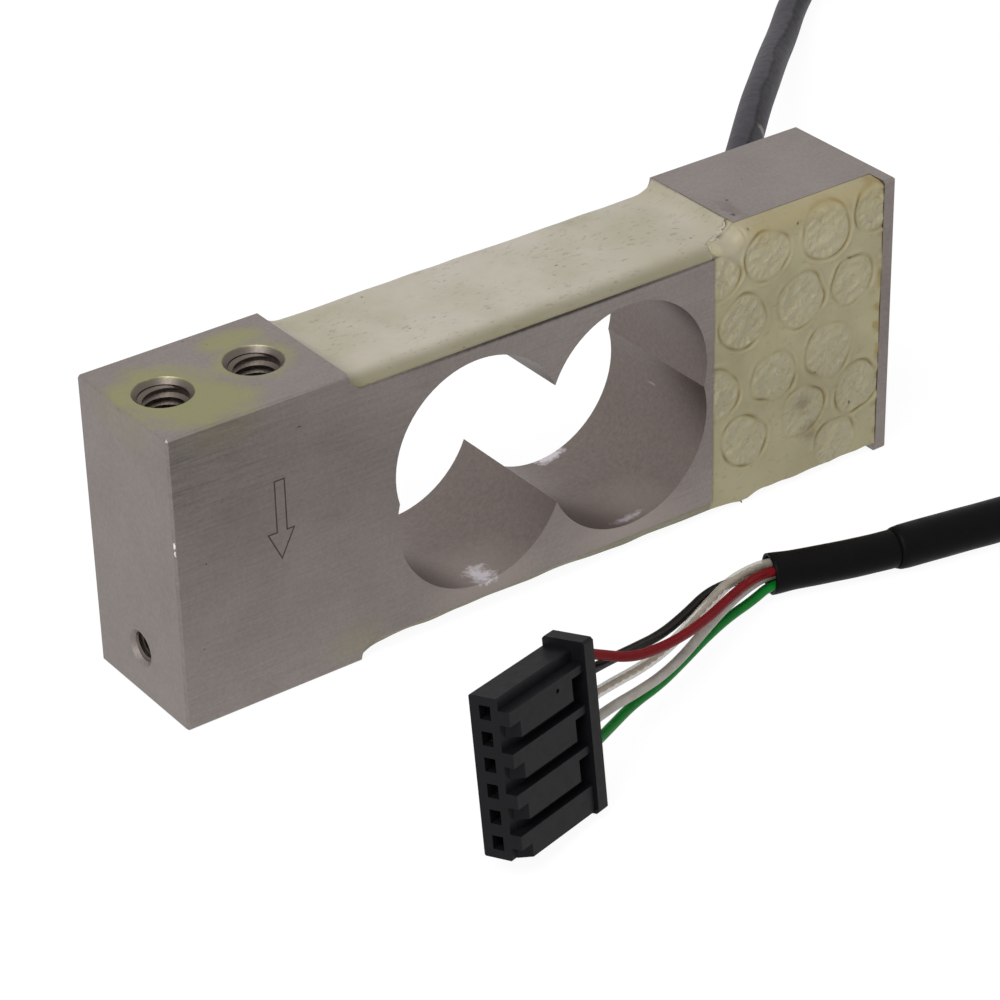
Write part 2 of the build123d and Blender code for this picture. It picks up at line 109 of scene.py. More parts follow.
class Shade:
    """A node tree, with short ways to add what the finishes share."""

    def __init__(self, tree: bpy.types.NodeTree) -> None:
        """Start from the tree's coordinates.

        Args:
            tree: The material's node tree.
        """
        self.tree = tree
        coordinates = self.add("ShaderNodeTexCoord")
        self.place = coordinates.outputs["Object"]
        self.uv = coordinates.outputs["UV"]

    def add(
        self, kind: str, inputs: dict | None = None, links: dict | None = None, **settings: object
    ) -> bpy.types.Node:
        """Add one node with its settings, values and links.

        Args:
            kind: The node's type.
            inputs: Values by socket name or index.
            links: Sockets to join, by the new node's socket name or index.
            settings: The node's own properties; stops gives a ramp's places and colours.

        Returns:
            The new node.
        """
        node = self.tree.nodes.new(kind)
        stops = settings.pop("stops", ())
        for name, value in settings.items():
            setattr(node, name, value)
        for element, (place, colour) in zip(node.color_ramp.elements if stops else (), stops):
            element.position, element.color = place, colour
        for key, value in (inputs or {}).items():
            node.inputs[key].default_value = value
        for key, socket in (links or {}).items():
            self.tree.links.new(socket, node.inputs[key])
        return node

    def sum(
        self,
        operation: str,
        first: Socket | float,
        second: Socket | float | None = None,
        third: Socket | float | None = None,
    ) -> Socket:
        """A math node whose operands are sockets or numbers; returns its output.

        Args:
            operation: The node's operation.
            first: The first operand.
            second: The second operand, if any.
            third: The third operand, if any.

        Returns:
            The node's output.
        """
        given = {key: item for key, item in enumerate((first, second, third)) if item is not None}
        values = {key: item for key, item in given.items() if isinstance(item, (int, float))}
        links = {key: item for key, item in given.items() if key not in values}
        return self.add("ShaderNodeMath", values, links, operation=operation).outputs[0]

    def vector(self, operation: str, first: Socket, values: Point) -> Socket:
        """A vector math node of a socket and fixed values; returns its vector output."""
        return self.add("ShaderNodeVectorMath", {1: values}, {0: first}, operation=operation).outputs[0]

    def noise(
        self, scale: float, detail: float = 4.0, roughness: float = 0.6, place: Socket | None = None
    ) -> Socket:
        """Noise in object space, or over another vector; returns its value."""
        values = {"Scale": scale, "Detail": detail, "Roughness": roughness}
        return self.add("ShaderNodeTexNoise", values, {"Vector": place or self.place}).outputs["Fac"]

    def between(
        self, value: Socket, low: float, high: float, first: float = 0.0, last: float = 1.0
    ) -> Socket:
        """A value held between two marks and spread over a new range."""
        marks = {"From Min": low, "From Max": high, "To Min": first, "To Max": last}
        return self.add("ShaderNodeMapRange", marks, {"Value": value}).outputs["Result"]

    def tint(
        self, value: Socket, low: Colour, high: Colour, start: float = 0.3, end: float = 0.7
    ) -> Socket:
        """A colour that runs from one to another as a value rises."""
        stops = ((start, low), (end, high))
        return self.add("ShaderNodeValToRGB", None, {"Fac": value}, stops=stops).outputs["Color"]

    def over(self, share: Socket, under: Socket, colour: Colour) -> Socket:
        """A fixed colour laid over another by a share."""
        node = self.add("ShaderNodeMix", {7: colour}, {0: share, 6: under}, data_type="RGBA")
        return node.outputs[2]

    def bump(self, height: Socket, strength: float, depth: float) -> Socket:
        """A normal from a height, with its depth in millimetres."""
        values = {"Strength": strength, "Distance": depth * MM}
        return self.add("ShaderNodeBump", values, {"Height": height}).outputs["Normal"]


@dataclass(frozen=True)
class Patch:
    """An ellipsoid region of the part.

    Attributes:
        centre: Its middle, in millimetres.
        reach: Its half lengths, in millimetres.
    """

    centre: Point
    reach: Point


@dataclass(frozen=True)
class Blot:
    """A stain, chip, scratch, speck, painted shade or painted light that covers some patches of a surface.

    Attributes:
        colour: Its sRGB colour.
        patches: Where it lies.
        strength: How much it covers at most.
        edge: The share of a patch's reach where it starts to fade and where it has gone.
        ragged: How far noise moves its edge.
        grain: The scale of that noise.
    """

    colour: str
    patches: tuple[Patch, ...]
    strength: float = 1.0
    edge: tuple[float, float] = (0.85, 1.0)
    ragged: float = 0.6
    grain: float = 1500.0

    def lay(self, shade: Shade, under: Socket) -> Socket:
        """Lay the blot over a colour.

        Args:
            shade: The material's tree.
            under: The colour's socket.

        Returns:
            The new colour's socket.
        """
        nearest = None
        for patch in self.patches:
            offset = shade.vector("SUBTRACT", shade.place, tuple(MM * value for value in patch.centre))
            scaled = shade.vector("MULTIPLY", offset, tuple(1 / (MM * value) for value in patch.reach))
            measured = shade.add("ShaderNodeVectorMath", None, {0: scaled}, operation="LENGTH")
            length = measured.outputs["Value"]
            nearest = length if nearest is None else shade.sum("MINIMUM", nearest, length)
        push = shade.between(shade.noise(self.grain, 5.0, 0.65), 0.25, 0.75, -self.ragged, self.ragged)
        share = shade.between(shade.sum("ADD", nearest, push), *self.edge, self.strength, 0.0)
        return shade.over(share, under, linear(self.colour))


@dataclass(frozen=True)
class Finish:
    """A surface finish: a named material with one principled shader.

    Attributes:
        name: What the material is called.
        colour: Its main sRGB colour.
        roughness: The shader's roughness.
        metallic: One for bare metal.
        mottle: How far the colour varies, as a share.
        mottle_scale: The scale of that variation.
        grain: The scale of the fine bump.
        grain_depth: The bump's depth, in millimetres.
        blots: What lies on the surface.
        shine: How strongly a finish that is not metal mirrors what is round it.
    """

    name: str
    colour: str
    roughness: float = 0.5
    metallic: float = 0.0
    mottle: float = 0.14
    mottle_scale: float = 600.0
    grain: float = 5000.0
    grain_depth: float = 0.03
    blots: tuple[Blot, ...] = ()
    shine: float = 0.15

    def build(self) -> bpy.types.Material:
        """Make the material.

        Returns:
            The material, with its colour, roughness and bump from nodes.
        """
        material = bpy.data.materials.new(self.name)
        material.use_nodes = True
        shader = next(node for node in material.node_tree.nodes if node.type == "BSDF_PRINCIPLED")
        shade = Shade(material.node_tree)
        shader.inputs["Metallic"].default_value = self.metallic
        if not self.metallic:
            shader.inputs["Specular IOR Level"].default_value = self.shine
        colour = self.colour_of(shade)
        for blot in self.blots:
            colour = blot.lay(shade, colour)
        for name, socket in (
            ("Base Color", colour),
            ("Roughness", self.roughness_of(shade)),
            ("Normal", self.normal_of(shade)),
        ):
            shade.tree.links.new(socket, shader.inputs[name])
        self.set_shader(shader)
        return material

    def colour_of(self, shade: Shade) -> Socket:
        """The main colour with soft variation."""
        low, high = linear(self.colour, 1 - self.mottle), linear(self.colour, 1 + self.mottle)
        return shade.tint(shade.noise(self.mottle_scale), low, high)

    def roughness_of(self, shade: Shade) -> Socket:
        """The roughness with slight variation."""
        varied = shade.noise(self.mottle_scale * 1.7, 3.0)
        return shade.between(varied, 0.3, 0.7, self.roughness - 0.06, self.roughness + 0.06)

    def normal_of(self, shade: Shade) -> Socket:
        """The fine grain."""
        return shade.bump(shade.noise(self.grain, 3.0), 0.25, self.grain_depth)

    def set_shader(self, shader: bpy.types.Node) -> None:
        """Set what else the shader needs; a plain finish needs nothing."""


@dataclass(frozen=True)
class MilledAluminium(Finish):
    """Milled aluminium, brushed along the beam, with darker bores in the window.

    Attributes:
        brush: The scales of the brush lines along X, Y and Z. Real lines are finer than a pixel
            here, so these are drawn coarse enough to show.
        bore: The colour inside the window.
        window: The window's half length and half height, in millimetres.
        window_middle: Its middle height, in millimetres.
        outer_face: How far the front and back faces are from the beam's middle plane.
    """

    brush: Point = (170.0, 6200.0, 6200.0)
    bore: str = "#766C68"
    window: tuple[float, float] = (19.5, 12.8)
    window_middle: float = 16.0
    outer_face: float = 7.96

    def brushed(self, shade: Shade) -> Socket:
        """Lines along the beam, which show as grain on its ends."""
        return shade.noise(1.0, 3.0, 0.7, shade.vector("MULTIPLY", shade.place, self.brush))

    def inside_window(self, shade: Shade) -> Socket:
        """One on the window's walls and nought elsewhere.

        Args:
            shade: The material's tree.

        Returns:
            The share's socket.
        """
        split = shade.add("ShaderNodeSeparateXYZ", None, {"Vector": shade.place}).outputs
        half_length, half_height = self.window
        height = shade.sum("SUBTRACT", split["Z"], self.window_middle * MM)
        inside = None
        limits = ((split["X"], half_length), (split["Y"], self.outer_face), (height, half_height))
        for socket, limit in limits:
            near = shade.sum("LESS_THAN", shade.sum("ABSOLUTE", socket), limit * MM)
            inside = near if inside is None else shade.sum("MULTIPLY", inside, near)
        return inside

    def colour_of(self, shade: Shade) -> Socket:
        """Brush lines over a cloudy grey, browner and darker in the window.

        Args:
            shade: The material's tree.

        Returns:
            The colour's socket.
        """
        lines = shade.sum("MULTIPLY", self.brushed(shade), 0.45)
        pits = shade.sum("MULTIPLY_ADD", shade.noise(2600.0, 3.0), 0.3, lines)
        pattern = shade.sum("MULTIPLY_ADD", shade.noise(150.0, 5.0), 0.25, pits)
        low, high = linear(self.colour, 0.82), linear(self.colour, 1.17)
        metal = shade.tint(pattern, low, high, 0.36, 0.64)
        cloud = shade.noise(2200.0, 4.0, 0.7)
        walls = shade.tint(cloud, linear(self.bore, 0.88), linear(self.bore, 1.12))
        node = shade.add(
            "ShaderNodeMix", None, {0: self.inside_window(shade), 6: metal, 7: walls}, data_type="RGBA"
        )
        return node.outputs[2]

    def roughness_of(self, shade: Shade) -> Socket:
        """A satin roughness that follows the brush lines."""
        return shade.between(self.brushed(shade), 0.3, 0.7, self.roughness - 0.08, self.roughness + 0.08)

    def normal_of(self, shade: Shade) -> Socket:
        """Shallow brush lines."""
        return shade.bump(self.brushed(shade), 0.22, 0.02)


@dataclass(frozen=True)
class PottingRubber(Finish):
    """Cast silicone: cream and satin, with stains, specks and browner grooves, painted shade on its rolled
    edges and creases, and painted highlights on its folds.

    Attributes:
        deep: The yellower colour of its darker areas.
        dirt: The colour of streaks and specks.
        grime_and_shade: The browner colour of grooves and yellowed flakes, and of the painted shade on
            rounded edges and creases.
        pale: The colour of the painted highlights on folds and inside prints.
        streaks: How much the streaks cover.
        specks: How many of the speck cells show, from 0 to 1.
        light_in: How much light enters the rubber.
        light_reach: How far its red, green and blue travel there, in metres.
    """

    deep: str = "#989072"
    dirt: str = "#6E5A3C"
    grime_and_shade: str = "#7C6C48"
    pale: str = "#CBC6B8"
    streaks: float = 0.3
    specks: float = 0.3
    light_in: float = 0.1
    light_reach: Point = (0.0012, 0.0009, 0.0005)

    def colour_of(self, shade: Shade) -> Socket:
        """Cream with yellower areas, streaks, scratches, specks, browner grooves and flakes, painted shade
        and painted highlights.

        Args:
            shade: The material's tree.

        Returns:
            The colour's socket.
        """
        cloud = shade.noise(110.0, 5.0, 0.5)
        colour = shade.tint(cloud, linear(self.deep), linear(self.colour), 0.34, 0.62)
        streak = shade.noise(1.0, 6.0, 0.7, shade.vector("MULTIPLY", shade.place, (420.0, 420.0, 900.0)))
        share = shade.between(streak, 0.58, 0.76, 0.0, self.streaks)
        colour = shade.over(share, colour, linear(self.dirt))
        stretched = shade.vector("MULTIPLY", shade.place, (1000.0, 2100.0, 2100.0))
        scratch = shade.noise(1.0, 5.0, 0.7, stretched)
        scratched = shade.sum("MULTIPLY", scratch, shade.between(shade.noise(170.0), 0.36, 0.46))
        share = shade.between(scratched, 0.57, 0.67, 0.0, 2 * self.streaks)
        colour = shade.over(share, colour, linear(self.dirt))
        tone = shade.add("ShaderNodeAttribute", attribute_name="tone").outputs["Fac"]
        # Above nought the tone lays the browner colour of grooves and flakes, with painted shade; below
        # nought it lays painted highlights.
        colour = shade.over(shade.between(tone, 0.0, 1.0, 0.0, 0.8), colour, linear(self.grime_and_shade))
        colour = shade.over(shade.between(tone, -1.0, 0.0, 0.8, 0.0), colour, linear(self.pale))
        dashes = shade.vector("MULTIPLY", shade.place, (0.7, 1.0, 1.0))
        cells = shade.add("ShaderNodeTexVoronoi", {"Scale": 560.0, "Randomness": 1.0}, {"Vector": dashes})
        ragged = shade.sum("MULTIPLY_ADD", shade.noise(3500.0, 3.0), 0.14, cells.outputs["Distance"])
        dot = shade.between(ragged, 0.11, 0.17, 1.0, 0.0)
        chosen = shade.between(cells.outputs["Color"], 1 - self.specks, 1.0 - 0.6 * self.specks, 0.0, 0.8)
        return shade.over(shade.sum("MULTIPLY", dot, chosen), colour, linear(self.dirt, 0.55))

    def normal_of(self, shade: Shade) -> Socket:
        """A faintly dimpled skin."""
        return shade.bump(shade.noise(900.0, 4.0, 0.5), 0.35, 0.09)

    def set_shader(self, shader: bpy.types.Node) -> None:
        """Let a little light into the rubber."""
        shader.inputs["Subsurface Weight"].default_value = self.light_in
        shader.inputs["Subsurface Radius"].default_value = self.light_reach


@dataclass(frozen=True)
class CordSkin(Finish):
    """Extruded plastic round a cord, with the painted shade of a crease along it and rings where it bends.

    Attributes:
        crease: The colour of the crease's painted shade, or empty for none.
        crease_turn: Where the crease lies round the cord, from 0 to 1.
        crease_width: Its half width, as a share of the way round.
        rings: How many ring wrinkles there are along the cord.
    """

    crease: str = ""
    crease_turn: float = 0.27
    crease_width: float = 0.035
    rings: float = 0.0

    def colour_of(self, shade: Shade) -> Socket:
        """The mottled skin, with the painted shade of a crease: a dark line, and a darker band on one side
        of it.

        Args:
            shade: The material's tree.

        Returns:
            The colour's socket.
        """
        colour = Finish.colour_of(self, shade)
        if not self.crease:
            return colour
        around = shade.add("ShaderNodeSeparateXYZ", None, {"Vector": shade.uv}).outputs["Y"]
        wander = shade.between(shade.noise(70.0, 2.0), 0.3, 0.7, -0.03, 0.03)
        off = shade.sum("SUBTRACT", shade.sum("ADD", around, wander), self.crease_turn)
        width = self.crease_width
        # Painted shade: a dark line on the crease and a darker band beside it.
        line = shade.between(shade.sum("ABSOLUTE", off), 0.2 * width, width, 0.85, 0.0)
        started = shade.between(off, -0.25 * width, 0.25 * width)
        shoulder = shade.sum("MULTIPLY", started, shade.between(off, 0.02, 0.14, 0.6, 0.0))
        return shade.over(shade.sum("MAXIMUM", line, shoulder), colour, linear(self.crease))

    def normal_of(self, shade: Shade) -> Socket:
        """Fine grain, with ring wrinkles where the cord has any.

        Args:
            shade: The material's tree.

        Returns:
            The normal's socket.
        """
        grain = shade.noise(self.grain, 3.0)
        if self.rings:
            along = shade.add("ShaderNodeSeparateXYZ", None, {"Vector": shade.uv}).outputs["X"]
            sway = shade.sum("MULTIPLY", shade.noise(160.0, 2.0), 9.0)
            wave = shade.sum("SINE", shade.sum("MULTIPLY_ADD", along, self.rings * math.tau, sway))
            grain = shade.sum("MULTIPLY_ADD", wave, 0.4, grain)
        return shade.bump(grain, 0.3, self.grain_depth)


@dataclass(frozen=True)
class ClearTube(Finish):
    """A clear thin tube that shows the strands in it.

    Attributes:
        alpha: How much of the tube is seen.
    """

    alpha: float = 0.5

    def set_shader(self, shader: bpy.types.Node) -> None:
        """Let part of the light through."""
        shader.inputs["Alpha"].default_value = self.alpha


# Yellow-green residue round the upper holes.
STAIN = Blot(
    "#8F9055",
    (
        Patch((-39.4, -0.6, 32.0), (4.6, 5.4, 0.35)), Patch((-37.2, -4.4, 32.0), (4.6, 3.4, 0.35)),
        Patch((-29.4, 0.0, 32.0), (3.6, 3.4, 0.35)), Patch((-29.2, 4.8, 32.0), (3.0, 1.6, 0.35)),
        Patch((-42.2, 1.6, 32.0), (2.0, 2.6, 0.35)),
    ),
    0.6,
    (0.7, 1.35),
    0.4,
    220.0,
)
# Painted shade, dark grey-brown, that darkens their countersinks where the lamp would glint.
SINK_SHADE = Blot(
    "#59524C",
    (Patch((-39.4, 0.0, 31.56), (4.6, 4.6, 0.5)), Patch((-29.4, 0.0, 31.56), (4.6, 4.6, 0.5))),
    0.85,
    (0.9, 1.08),
    0.1,
    600.0,
)
# The same residue, faint, over three edges.
FAINT_STAIN = Blot(
    "#8A8C5A",
    (
        Patch((-44.0, 0.0, 30.6), (0.6, 5.5, 2.0)), Patch((-38.0, -8.0, 30.9), (4.5, 0.6, 1.6)),
        Patch((-24.5, -8.0, 2.6), (3.0, 0.6, 2.2)),
    ),
    0.17,
    (0.4, 1.4),
    0.5,
    260.0,
)
# Bright chips on the front left edge.
CHIPS = Blot(
    "#E6E4E2",
    (
        Patch((-43.98, -7.98, 22.5), (0.13, 0.13, 1.0)), Patch((-43.98, -7.98, 20.3), (0.18, 0.18, 1.2)),
        Patch((-43.98, -7.98, 16.6), (0.12, 0.12, 0.5)),
    ),
)
# Bright scuffs where the cutter left the bores.
BURRS = Blot(
    "#D2CCD2",
    (
        Patch((10.6, 7.7, 3.6), (2.3, 0.8, 0.8)), Patch((-8.7, -6.6, 3.4), (1.4, 1.7, 0.8)),
        Patch((9.6, -7.1, 3.5), (2.0, 0.55, 0.8)),
    ),
    0.85,
    (0.5, 1.1),
    0.65,
    1000.0,
)
# Painted light on the lower, front part of the bores.
LIT_BORE_FLOORS = Blot(
    "#A0948D",
    (Patch((-9.4, -6.5, 3.2), (8.0, 6.5, 2.8)), Patch((9.4, -6.5, 3.2), (8.0, 6.5, 2.8))),
    0.5,
    (0.2, 1.1),
    0.1,
    300.0,
)
# A light nick in the right bore.
NICK = Blot("#A39C9A", (Patch((19.1, 1.0, 12.4), (0.4, 0.75, 0.14)),), 0.6, (0.5, 1.1), 0.5, 1400.0)
# A brown smear on top, beside the torn rubber.
SMEAR = Blot("#6B5C58", (Patch((26.0, -3.2, 32.0), (0.9, 2.4, 0.3)),), 0.5, (0.3, 1.1), 0.9, 900.0)
# Painted shadow under the top potting's front edge.
EDGE_SHADOW = Blot("#2A2725", (Patch((0.2, -7.95, 30.2), (26.0, 0.4, 0.42)),), 0.9, (0.35, 1.0), 0.12)
# Small dark specks and scratches on the metal.
METAL_SPECKS = Blot(
    "#3C3734",
    (
        Patch((-40.7, -8.0, 17.6), (0.12, 0.2, 0.1)), Patch((-41.6, -8.0, 8.5), (0.1, 0.2, 0.1)),
        Patch((-29.7, -8.0, 28.5), (0.34, 0.2, 0.1)), Patch((-32.7, 7.3, 32.0), (0.14, 0.12, 0.2)),
        Patch((-31.2, 5.4, 32.0), (0.1, 0.1, 0.2)), Patch((27.0, -1.3, 32.0), (0.26, 0.22, 0.2)),
        Patch((25.4, -4.2, 32.0), (0.24, 0.4, 0.2)), Patch((31.3, 1.6, 32.0), (0.12, 0.12, 0.2)),
    ),
    0.8,
    (0.6, 1.0),
    0.5,
    2500.0,
)
# Aluminium alloy, milled and brushed: satin grey, with fine lines along the beam and dull bores.
ALUMINIUM = MilledAluminium(
    "brushed_aluminium",
    "#837B77",
    0.44,
    1.0,
    blots=(
        STAIN,
        SINK_SHADE,
        FAINT_STAIN,
        SMEAR,
        LIT_BORE_FLOORS,
        EDGE_SHADOW,
        METAL_SPECKS,
        CHIPS,
        BURRS,
        NICK,
    ),
)
# The same alloy cut by a tap, with painted shade that darkens it in the hole, and a thin glint on each
# crest.
SHADED_THREAD = Finish("shaded_thread", "#675E57", 0.42, 1.0)
# Laser-etched metal: a matt dark line that mirrors nothing.
ENGRAVING = Finish("engraved_line", "#4B4440", 0.8)
# Cast silicone, left to level: cream and satin, with painted olive shade where it rolls over and in its
# climbing ends, and dirt on its skin.
TOP_POTTING = PottingRubber(
    "potting_top",
    "#BDB6A8",
    0.42,
    deep="#ABA48E",
    dirt="#6B5A48",
    grime_and_shade="#757052",
    streaks=0.22,
    specks=0.6,
    shine=0.3,
)
# Paler rubber at the pocket's upper corner.
WHITER = Blot("#B0A898", (Patch((22.6, -6.4, 30.6), (3.6, 3.0, 2.4)),), 0.7, (0.2, 1.1), 0.3, 400.0)
# Brown smudges low in the pocket.
GRIME = Blot(
    "#6E5A3C",
    (Patch((33.1, -7.9, 6.0), (1.5, 0.6, 1.4)), Patch((32.0, -7.9, 9.2), (1.3, 0.6, 1.5))),
    0.5,
    (0.1, 1.1),
    0.8,
    900.0,
)
# Dark specks in the pocket.
POCKET_SPECKS = Blot(
    "#4E3B28",
    (
        Patch((24.9, -6.8, 31.6), (0.3, 0.6, 0.2)), Patch((30.9, -7.6, 30.7), (0.16, 0.5, 0.24)),
        Patch((38.1, -7.9, 24.5), (0.4, 0.5, 0.15)), Patch((33.8, -7.9, 12.5), (0.2, 0.5, 0.14)),
        Patch((38.6, -7.9, 7.3), (0.16, 0.5, 0.3)),
    ),
    0.8,
    (0.6, 1.0),
    0.5,
    2500.0,
)
# Yellowed rubber along the pocket's right wall.
FLAKES = Blot(
    "#96803F",
    (
        Patch((42.0, -7.9, 17.6), (0.7, 0.6, 0.5)), Patch((41.9, -7.9, 15.2), (0.5, 0.6, 1.1)),
        Patch((42.2, -7.9, 12.6), (0.4, 0.6, 0.9)), Patch((42.2, -7.9, 21.0), (0.3, 0.6, 1.6)),
    ),
    0.7,
    (0.4, 1.1),
    0.8,
    1100.0,
)
# The same silicone pressed by its packing: yellower, a little glossier, with brown in its grooves, painted
# shade in its creases and along its top, and painted highlights on its folds.
SIDE_POTTING = PottingRubber(
    "potting_side",
    "#B2AA89",
    0.38,
    deep="#A09878",
    dirt="#7C6438",
    grime_and_shade="#85713F",
    streaks=0.14,
    specks=0.2,
    blots=(WHITER, GRIME, POCKET_SPECKS, FLAKES),
    shine=0.35,
)
# A pale scuff where the cable bends behind the beam.
WORN_THROUGH = Blot("#A9A498", (Patch((65.1, 38.5, 14.0), (1.0, 1.0, 1.6)),), 0.6, (0.5, 1.1), 0.4, 500.0)
# Extruded PVC: dull grey with a violet cast, with painted shade along a crease where it was coiled.
JACKET = CordSkin(
    "pvc_jacket", "#3F3B42", 0.48, crease="#0D0B0F", rings=110.0, blots=(WORN_THROUGH,), shine=0.05
)
# Shrunk polyolefin: almost black, and dull.
SHRINK = Finish("heat_shrink", "#090808", 0.45, mottle=0.2, grain=2500.0, shine=0.06)
# Extruded PVC insulation on the wires: strong colours with a soft sheen.
RED = CordSkin("red_insulation", "#700A12", 0.4, shine=0.05)
BLACK = CordSkin("black_insulation", "#110E0D", 0.4, shine=0.1)
WHITE = CordSkin("white_insulation", "#ACA69E", 0.42, shine=0.25)
GREEN = CordSkin("green_insulation", "#0E7A2A", 0.4, shine=0.09)
# Clear PVC tube: milky, with a sharper gloss than the wires.
CLEAR = ClearTube("clear_sleeve", "#CFC9BA", 0.22, shine=0.3)
# Tinned copper strands, oxidised: warm metal through the clear tube.
STRAND = Finish("tinned_strand", "#8E7358", 0.35, 1.0, mottle=0.35)
# Moulded nylon: black and satin, with a fine moulded grain.
NYLON = Finish("moulded_nylon", "#131316", 0.42, mottle=0.12, grain=3200.0, shine=0.1)
# Stamped phosphor bronze: brownish bright metal deep in the connector.
BRONZE = Finish("phosphor_bronze", "#8A6A48", 0.35, 1.0)
# Silicone bead at the cable's exit: pale grey and satin.
SEAL = Finish("silicone_bead", "#B8B4A8", 0.4)
# Polyimide film: amber and smooth.
FILM = Finish("polyimide_film", "#B0702A", 0.35)
# Tinned copper foil: bright, slightly warm metal.
COPPER = Finish("tinned_copper", "#A89684", 0.35, 1.0)
# Epoxy glass under solder mask: smooth green.
LAMINATE = Finish("solder_mask", "#1C5A34", 0.4)
# Glazed resistor body: black and plain.
CERAMIC = Finish("resistor_body", "#1B1B1D", 0.5)
# Solder: bright grey metal.
SOLDER = Finish("solder", "#B4B4B4", 0.3, 1.0)
# PVC cores in the potting: dull grey.
CORES = Finish("core_insulation", "#8E8880", 0.45)

NODE_FINISHES: dict[str, Finish] = {
    "spring_element": ALUMINIUM,
    **{f"strain_gauge_{level}_{end}": FILM for level in ("upper", "lower") for end in ("left", "right")},
    **{f"{level}_gauge_leads": COPPER for level in ("upper", "lower")},
    "wiring_board": LAMINATE,
    "board_resistors": CERAMIC,
    "board_terminals": SOLDER,
    "pocket_conductors": CORES,
    "cable_seal": SEAL,
    "connector_housing": NYLON,
    "crimp_contacts": BRONZE,
}


class Workshop:
    """Builds each material once and hands finished pieces to the frame."""

    def __init__(self) -> None:
        """Start with an empty shelf of materials."""
        self.shelf: dict[str, bpy.types.Material] = {}

    def material(self, finish: Finish) -> bpy.types.Material:
        """The finish's material, made the first time it is asked for.

        Args:
            finish: The finish.

        Returns:
            The material.
        """
        if finish.name not in self.shelf:
            self.shelf[finish.name] = finish.build()
        return self.shelf[finish.name]

    def dress(self, node: str, finish: Finish) -> None:
        """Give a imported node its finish.

        Args:
            node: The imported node's name.
            finish: The finish.
        """
        materials = bpy.data.objects[node].data.materials
        materials.clear()
        materials.append(self.material(finish))
        LOG.info("dressed %s with %s", node, finish.name)

    def piece(
        self,
        name: str,
        mesh: bmesh.types.BMesh,
        finish: Finish,
        tone: Callable[[Vector], float] | None = None,
    ) -> bpy.types.Object:
        """Turn a bmesh to a smooth object that rides on the body.

        Args:
            name: The object's name.
            mesh: The bmesh, in millimetres, which is freed.
            finish: Its finish.
            tone: Gives how dark (up to 1) or pale (down to -1) a point is, for the finish to read.

        Returns:
            The object.
        """
        bmesh.ops.recalc_face_normals(mesh, faces=mesh.faces)
        for face in mesh.faces:
            face.smooth = True
        tones = [tone(vertex.co) for vertex in mesh.verts] if tone else []
        bmesh.ops.scale(mesh, vec=(MM, MM, MM), verts=mesh.verts)
        data = bpy.data.meshes.new(name)
        mesh.to_mesh(data)
        mesh.free()
        if tones:
            data.attributes.new("tone", "FLOAT", "POINT").data.foreach_set("value", tones)
        data.materials.append(self.material(finish))
        made = bpy.data.objects.new(name, data)
        bpy.context.scene.collection.objects.link(made)
        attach(made, BODY)
        LOG.info("made %s with %d faces", name, len(data.polygons))
        return made

    def cord(self, name: str, points: list[Point], radius: float, finish: Finish) -> bpy.types.Object:
        """A round cord along given points.

        Args:
            name: The object's name.
            points: The route, in millimetres.
            radius: The cord's radius, in millimetres.
            finish: Its finish.

        Returns:
            The curve object.
        """
        made = bpy.data.objects.new(name, route_curve(name, points))
        made.data.bevel_depth = radius * MM
        made.data.bevel_resolution = 7
        made.data.use_fill_caps = True
        made.data.materials.append(self.material(finish))
        bpy.context.scene.collection.objects.link(made)
        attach(made, BODY)
        LOG.info("laid %s", name)
        return made


def route_curve(name: str, points: list[Point]) -> bpy.types.Curve:
    """A smooth curve, in metres and with no thickness, whose control points are a route's points.

    Args:
        name: The curve's name.
        points: The route, in millimetres.

    Returns:
        The curve.
    """
    curve = bpy.data.curves.new(name, "CURVE")
    curve.dimensions = "3D"
    curve.resolution_u = 12
    spline = curve.splines.new("NURBS")
    spline.points.add(len(points) - 1)
    for control, point in zip(spline.points, points):
        control.co = (*(Vector(point) * MM), 1.0)
    spline.order_u = 3
    spline.use_endpoint_u = True
    return curve


def centreline(points: list[Point]) -> list[Vector]:
    """Points, in millimetres, read from a route's smooth curve.

    Args:
        points: The route, in millimetres.

    Returns:
        The points.
    """
    reader = bpy.data.objects.new("route_reader", route_curve("route_reader", points))
    line = bpy.data.meshes.new_from_object(reader)
    read = [vertex.co / MM for vertex in line.vertices]
    bpy.data.meshes.remove(line)
    bpy.data.objects.remove(reader)
    return read


def length_of(line: list[Vector]) -> float:
    """The length of a line of points."""
    return sum((after - before).length for before, after in zip(line, line[1:]))


def resample(line: list[Vector], step: float) -> list[Vector]:
    """Points an even step apart along a line.

    Args:
        line: The line's points.
        step: How far apart the points are.

    Returns:
        The new points.
    """
    total = length_of(line)
    count = max(2, round(total / step))
    even, index, walked = [], 0, 0.0
    for number in range(count + 1):
        target = total * number / count
        while index < len(line) - 2 and walked + (line[index + 1] - line[index]).length < target:
            walked += (line[index + 1] - line[index]).length
            index += 1
        run = line[index + 1] - line[index]
        even.append(line[index] + run * min(1.0, (target - walked) / run.length))
    return even


def carried_frames(line: list[Vector]) -> list[Matrix]:
    """Frames along a line, with Z along it and no needless turning.

    Args:
        line: The line's points.

    Returns:
        A turn for each point.
    """
    frames = []
    across = Vector((0, 0, 1))
    for index in range(len(line)):
        before, after = line[max(index - 1, 0)], line[min(index + 1, len(line) - 1)]
        along = (after - before).normalized()
        across = (across - along * across.dot(along)).normalized()
        frames.append(Matrix((across, along.cross(across), along)).transposed())
    return frames


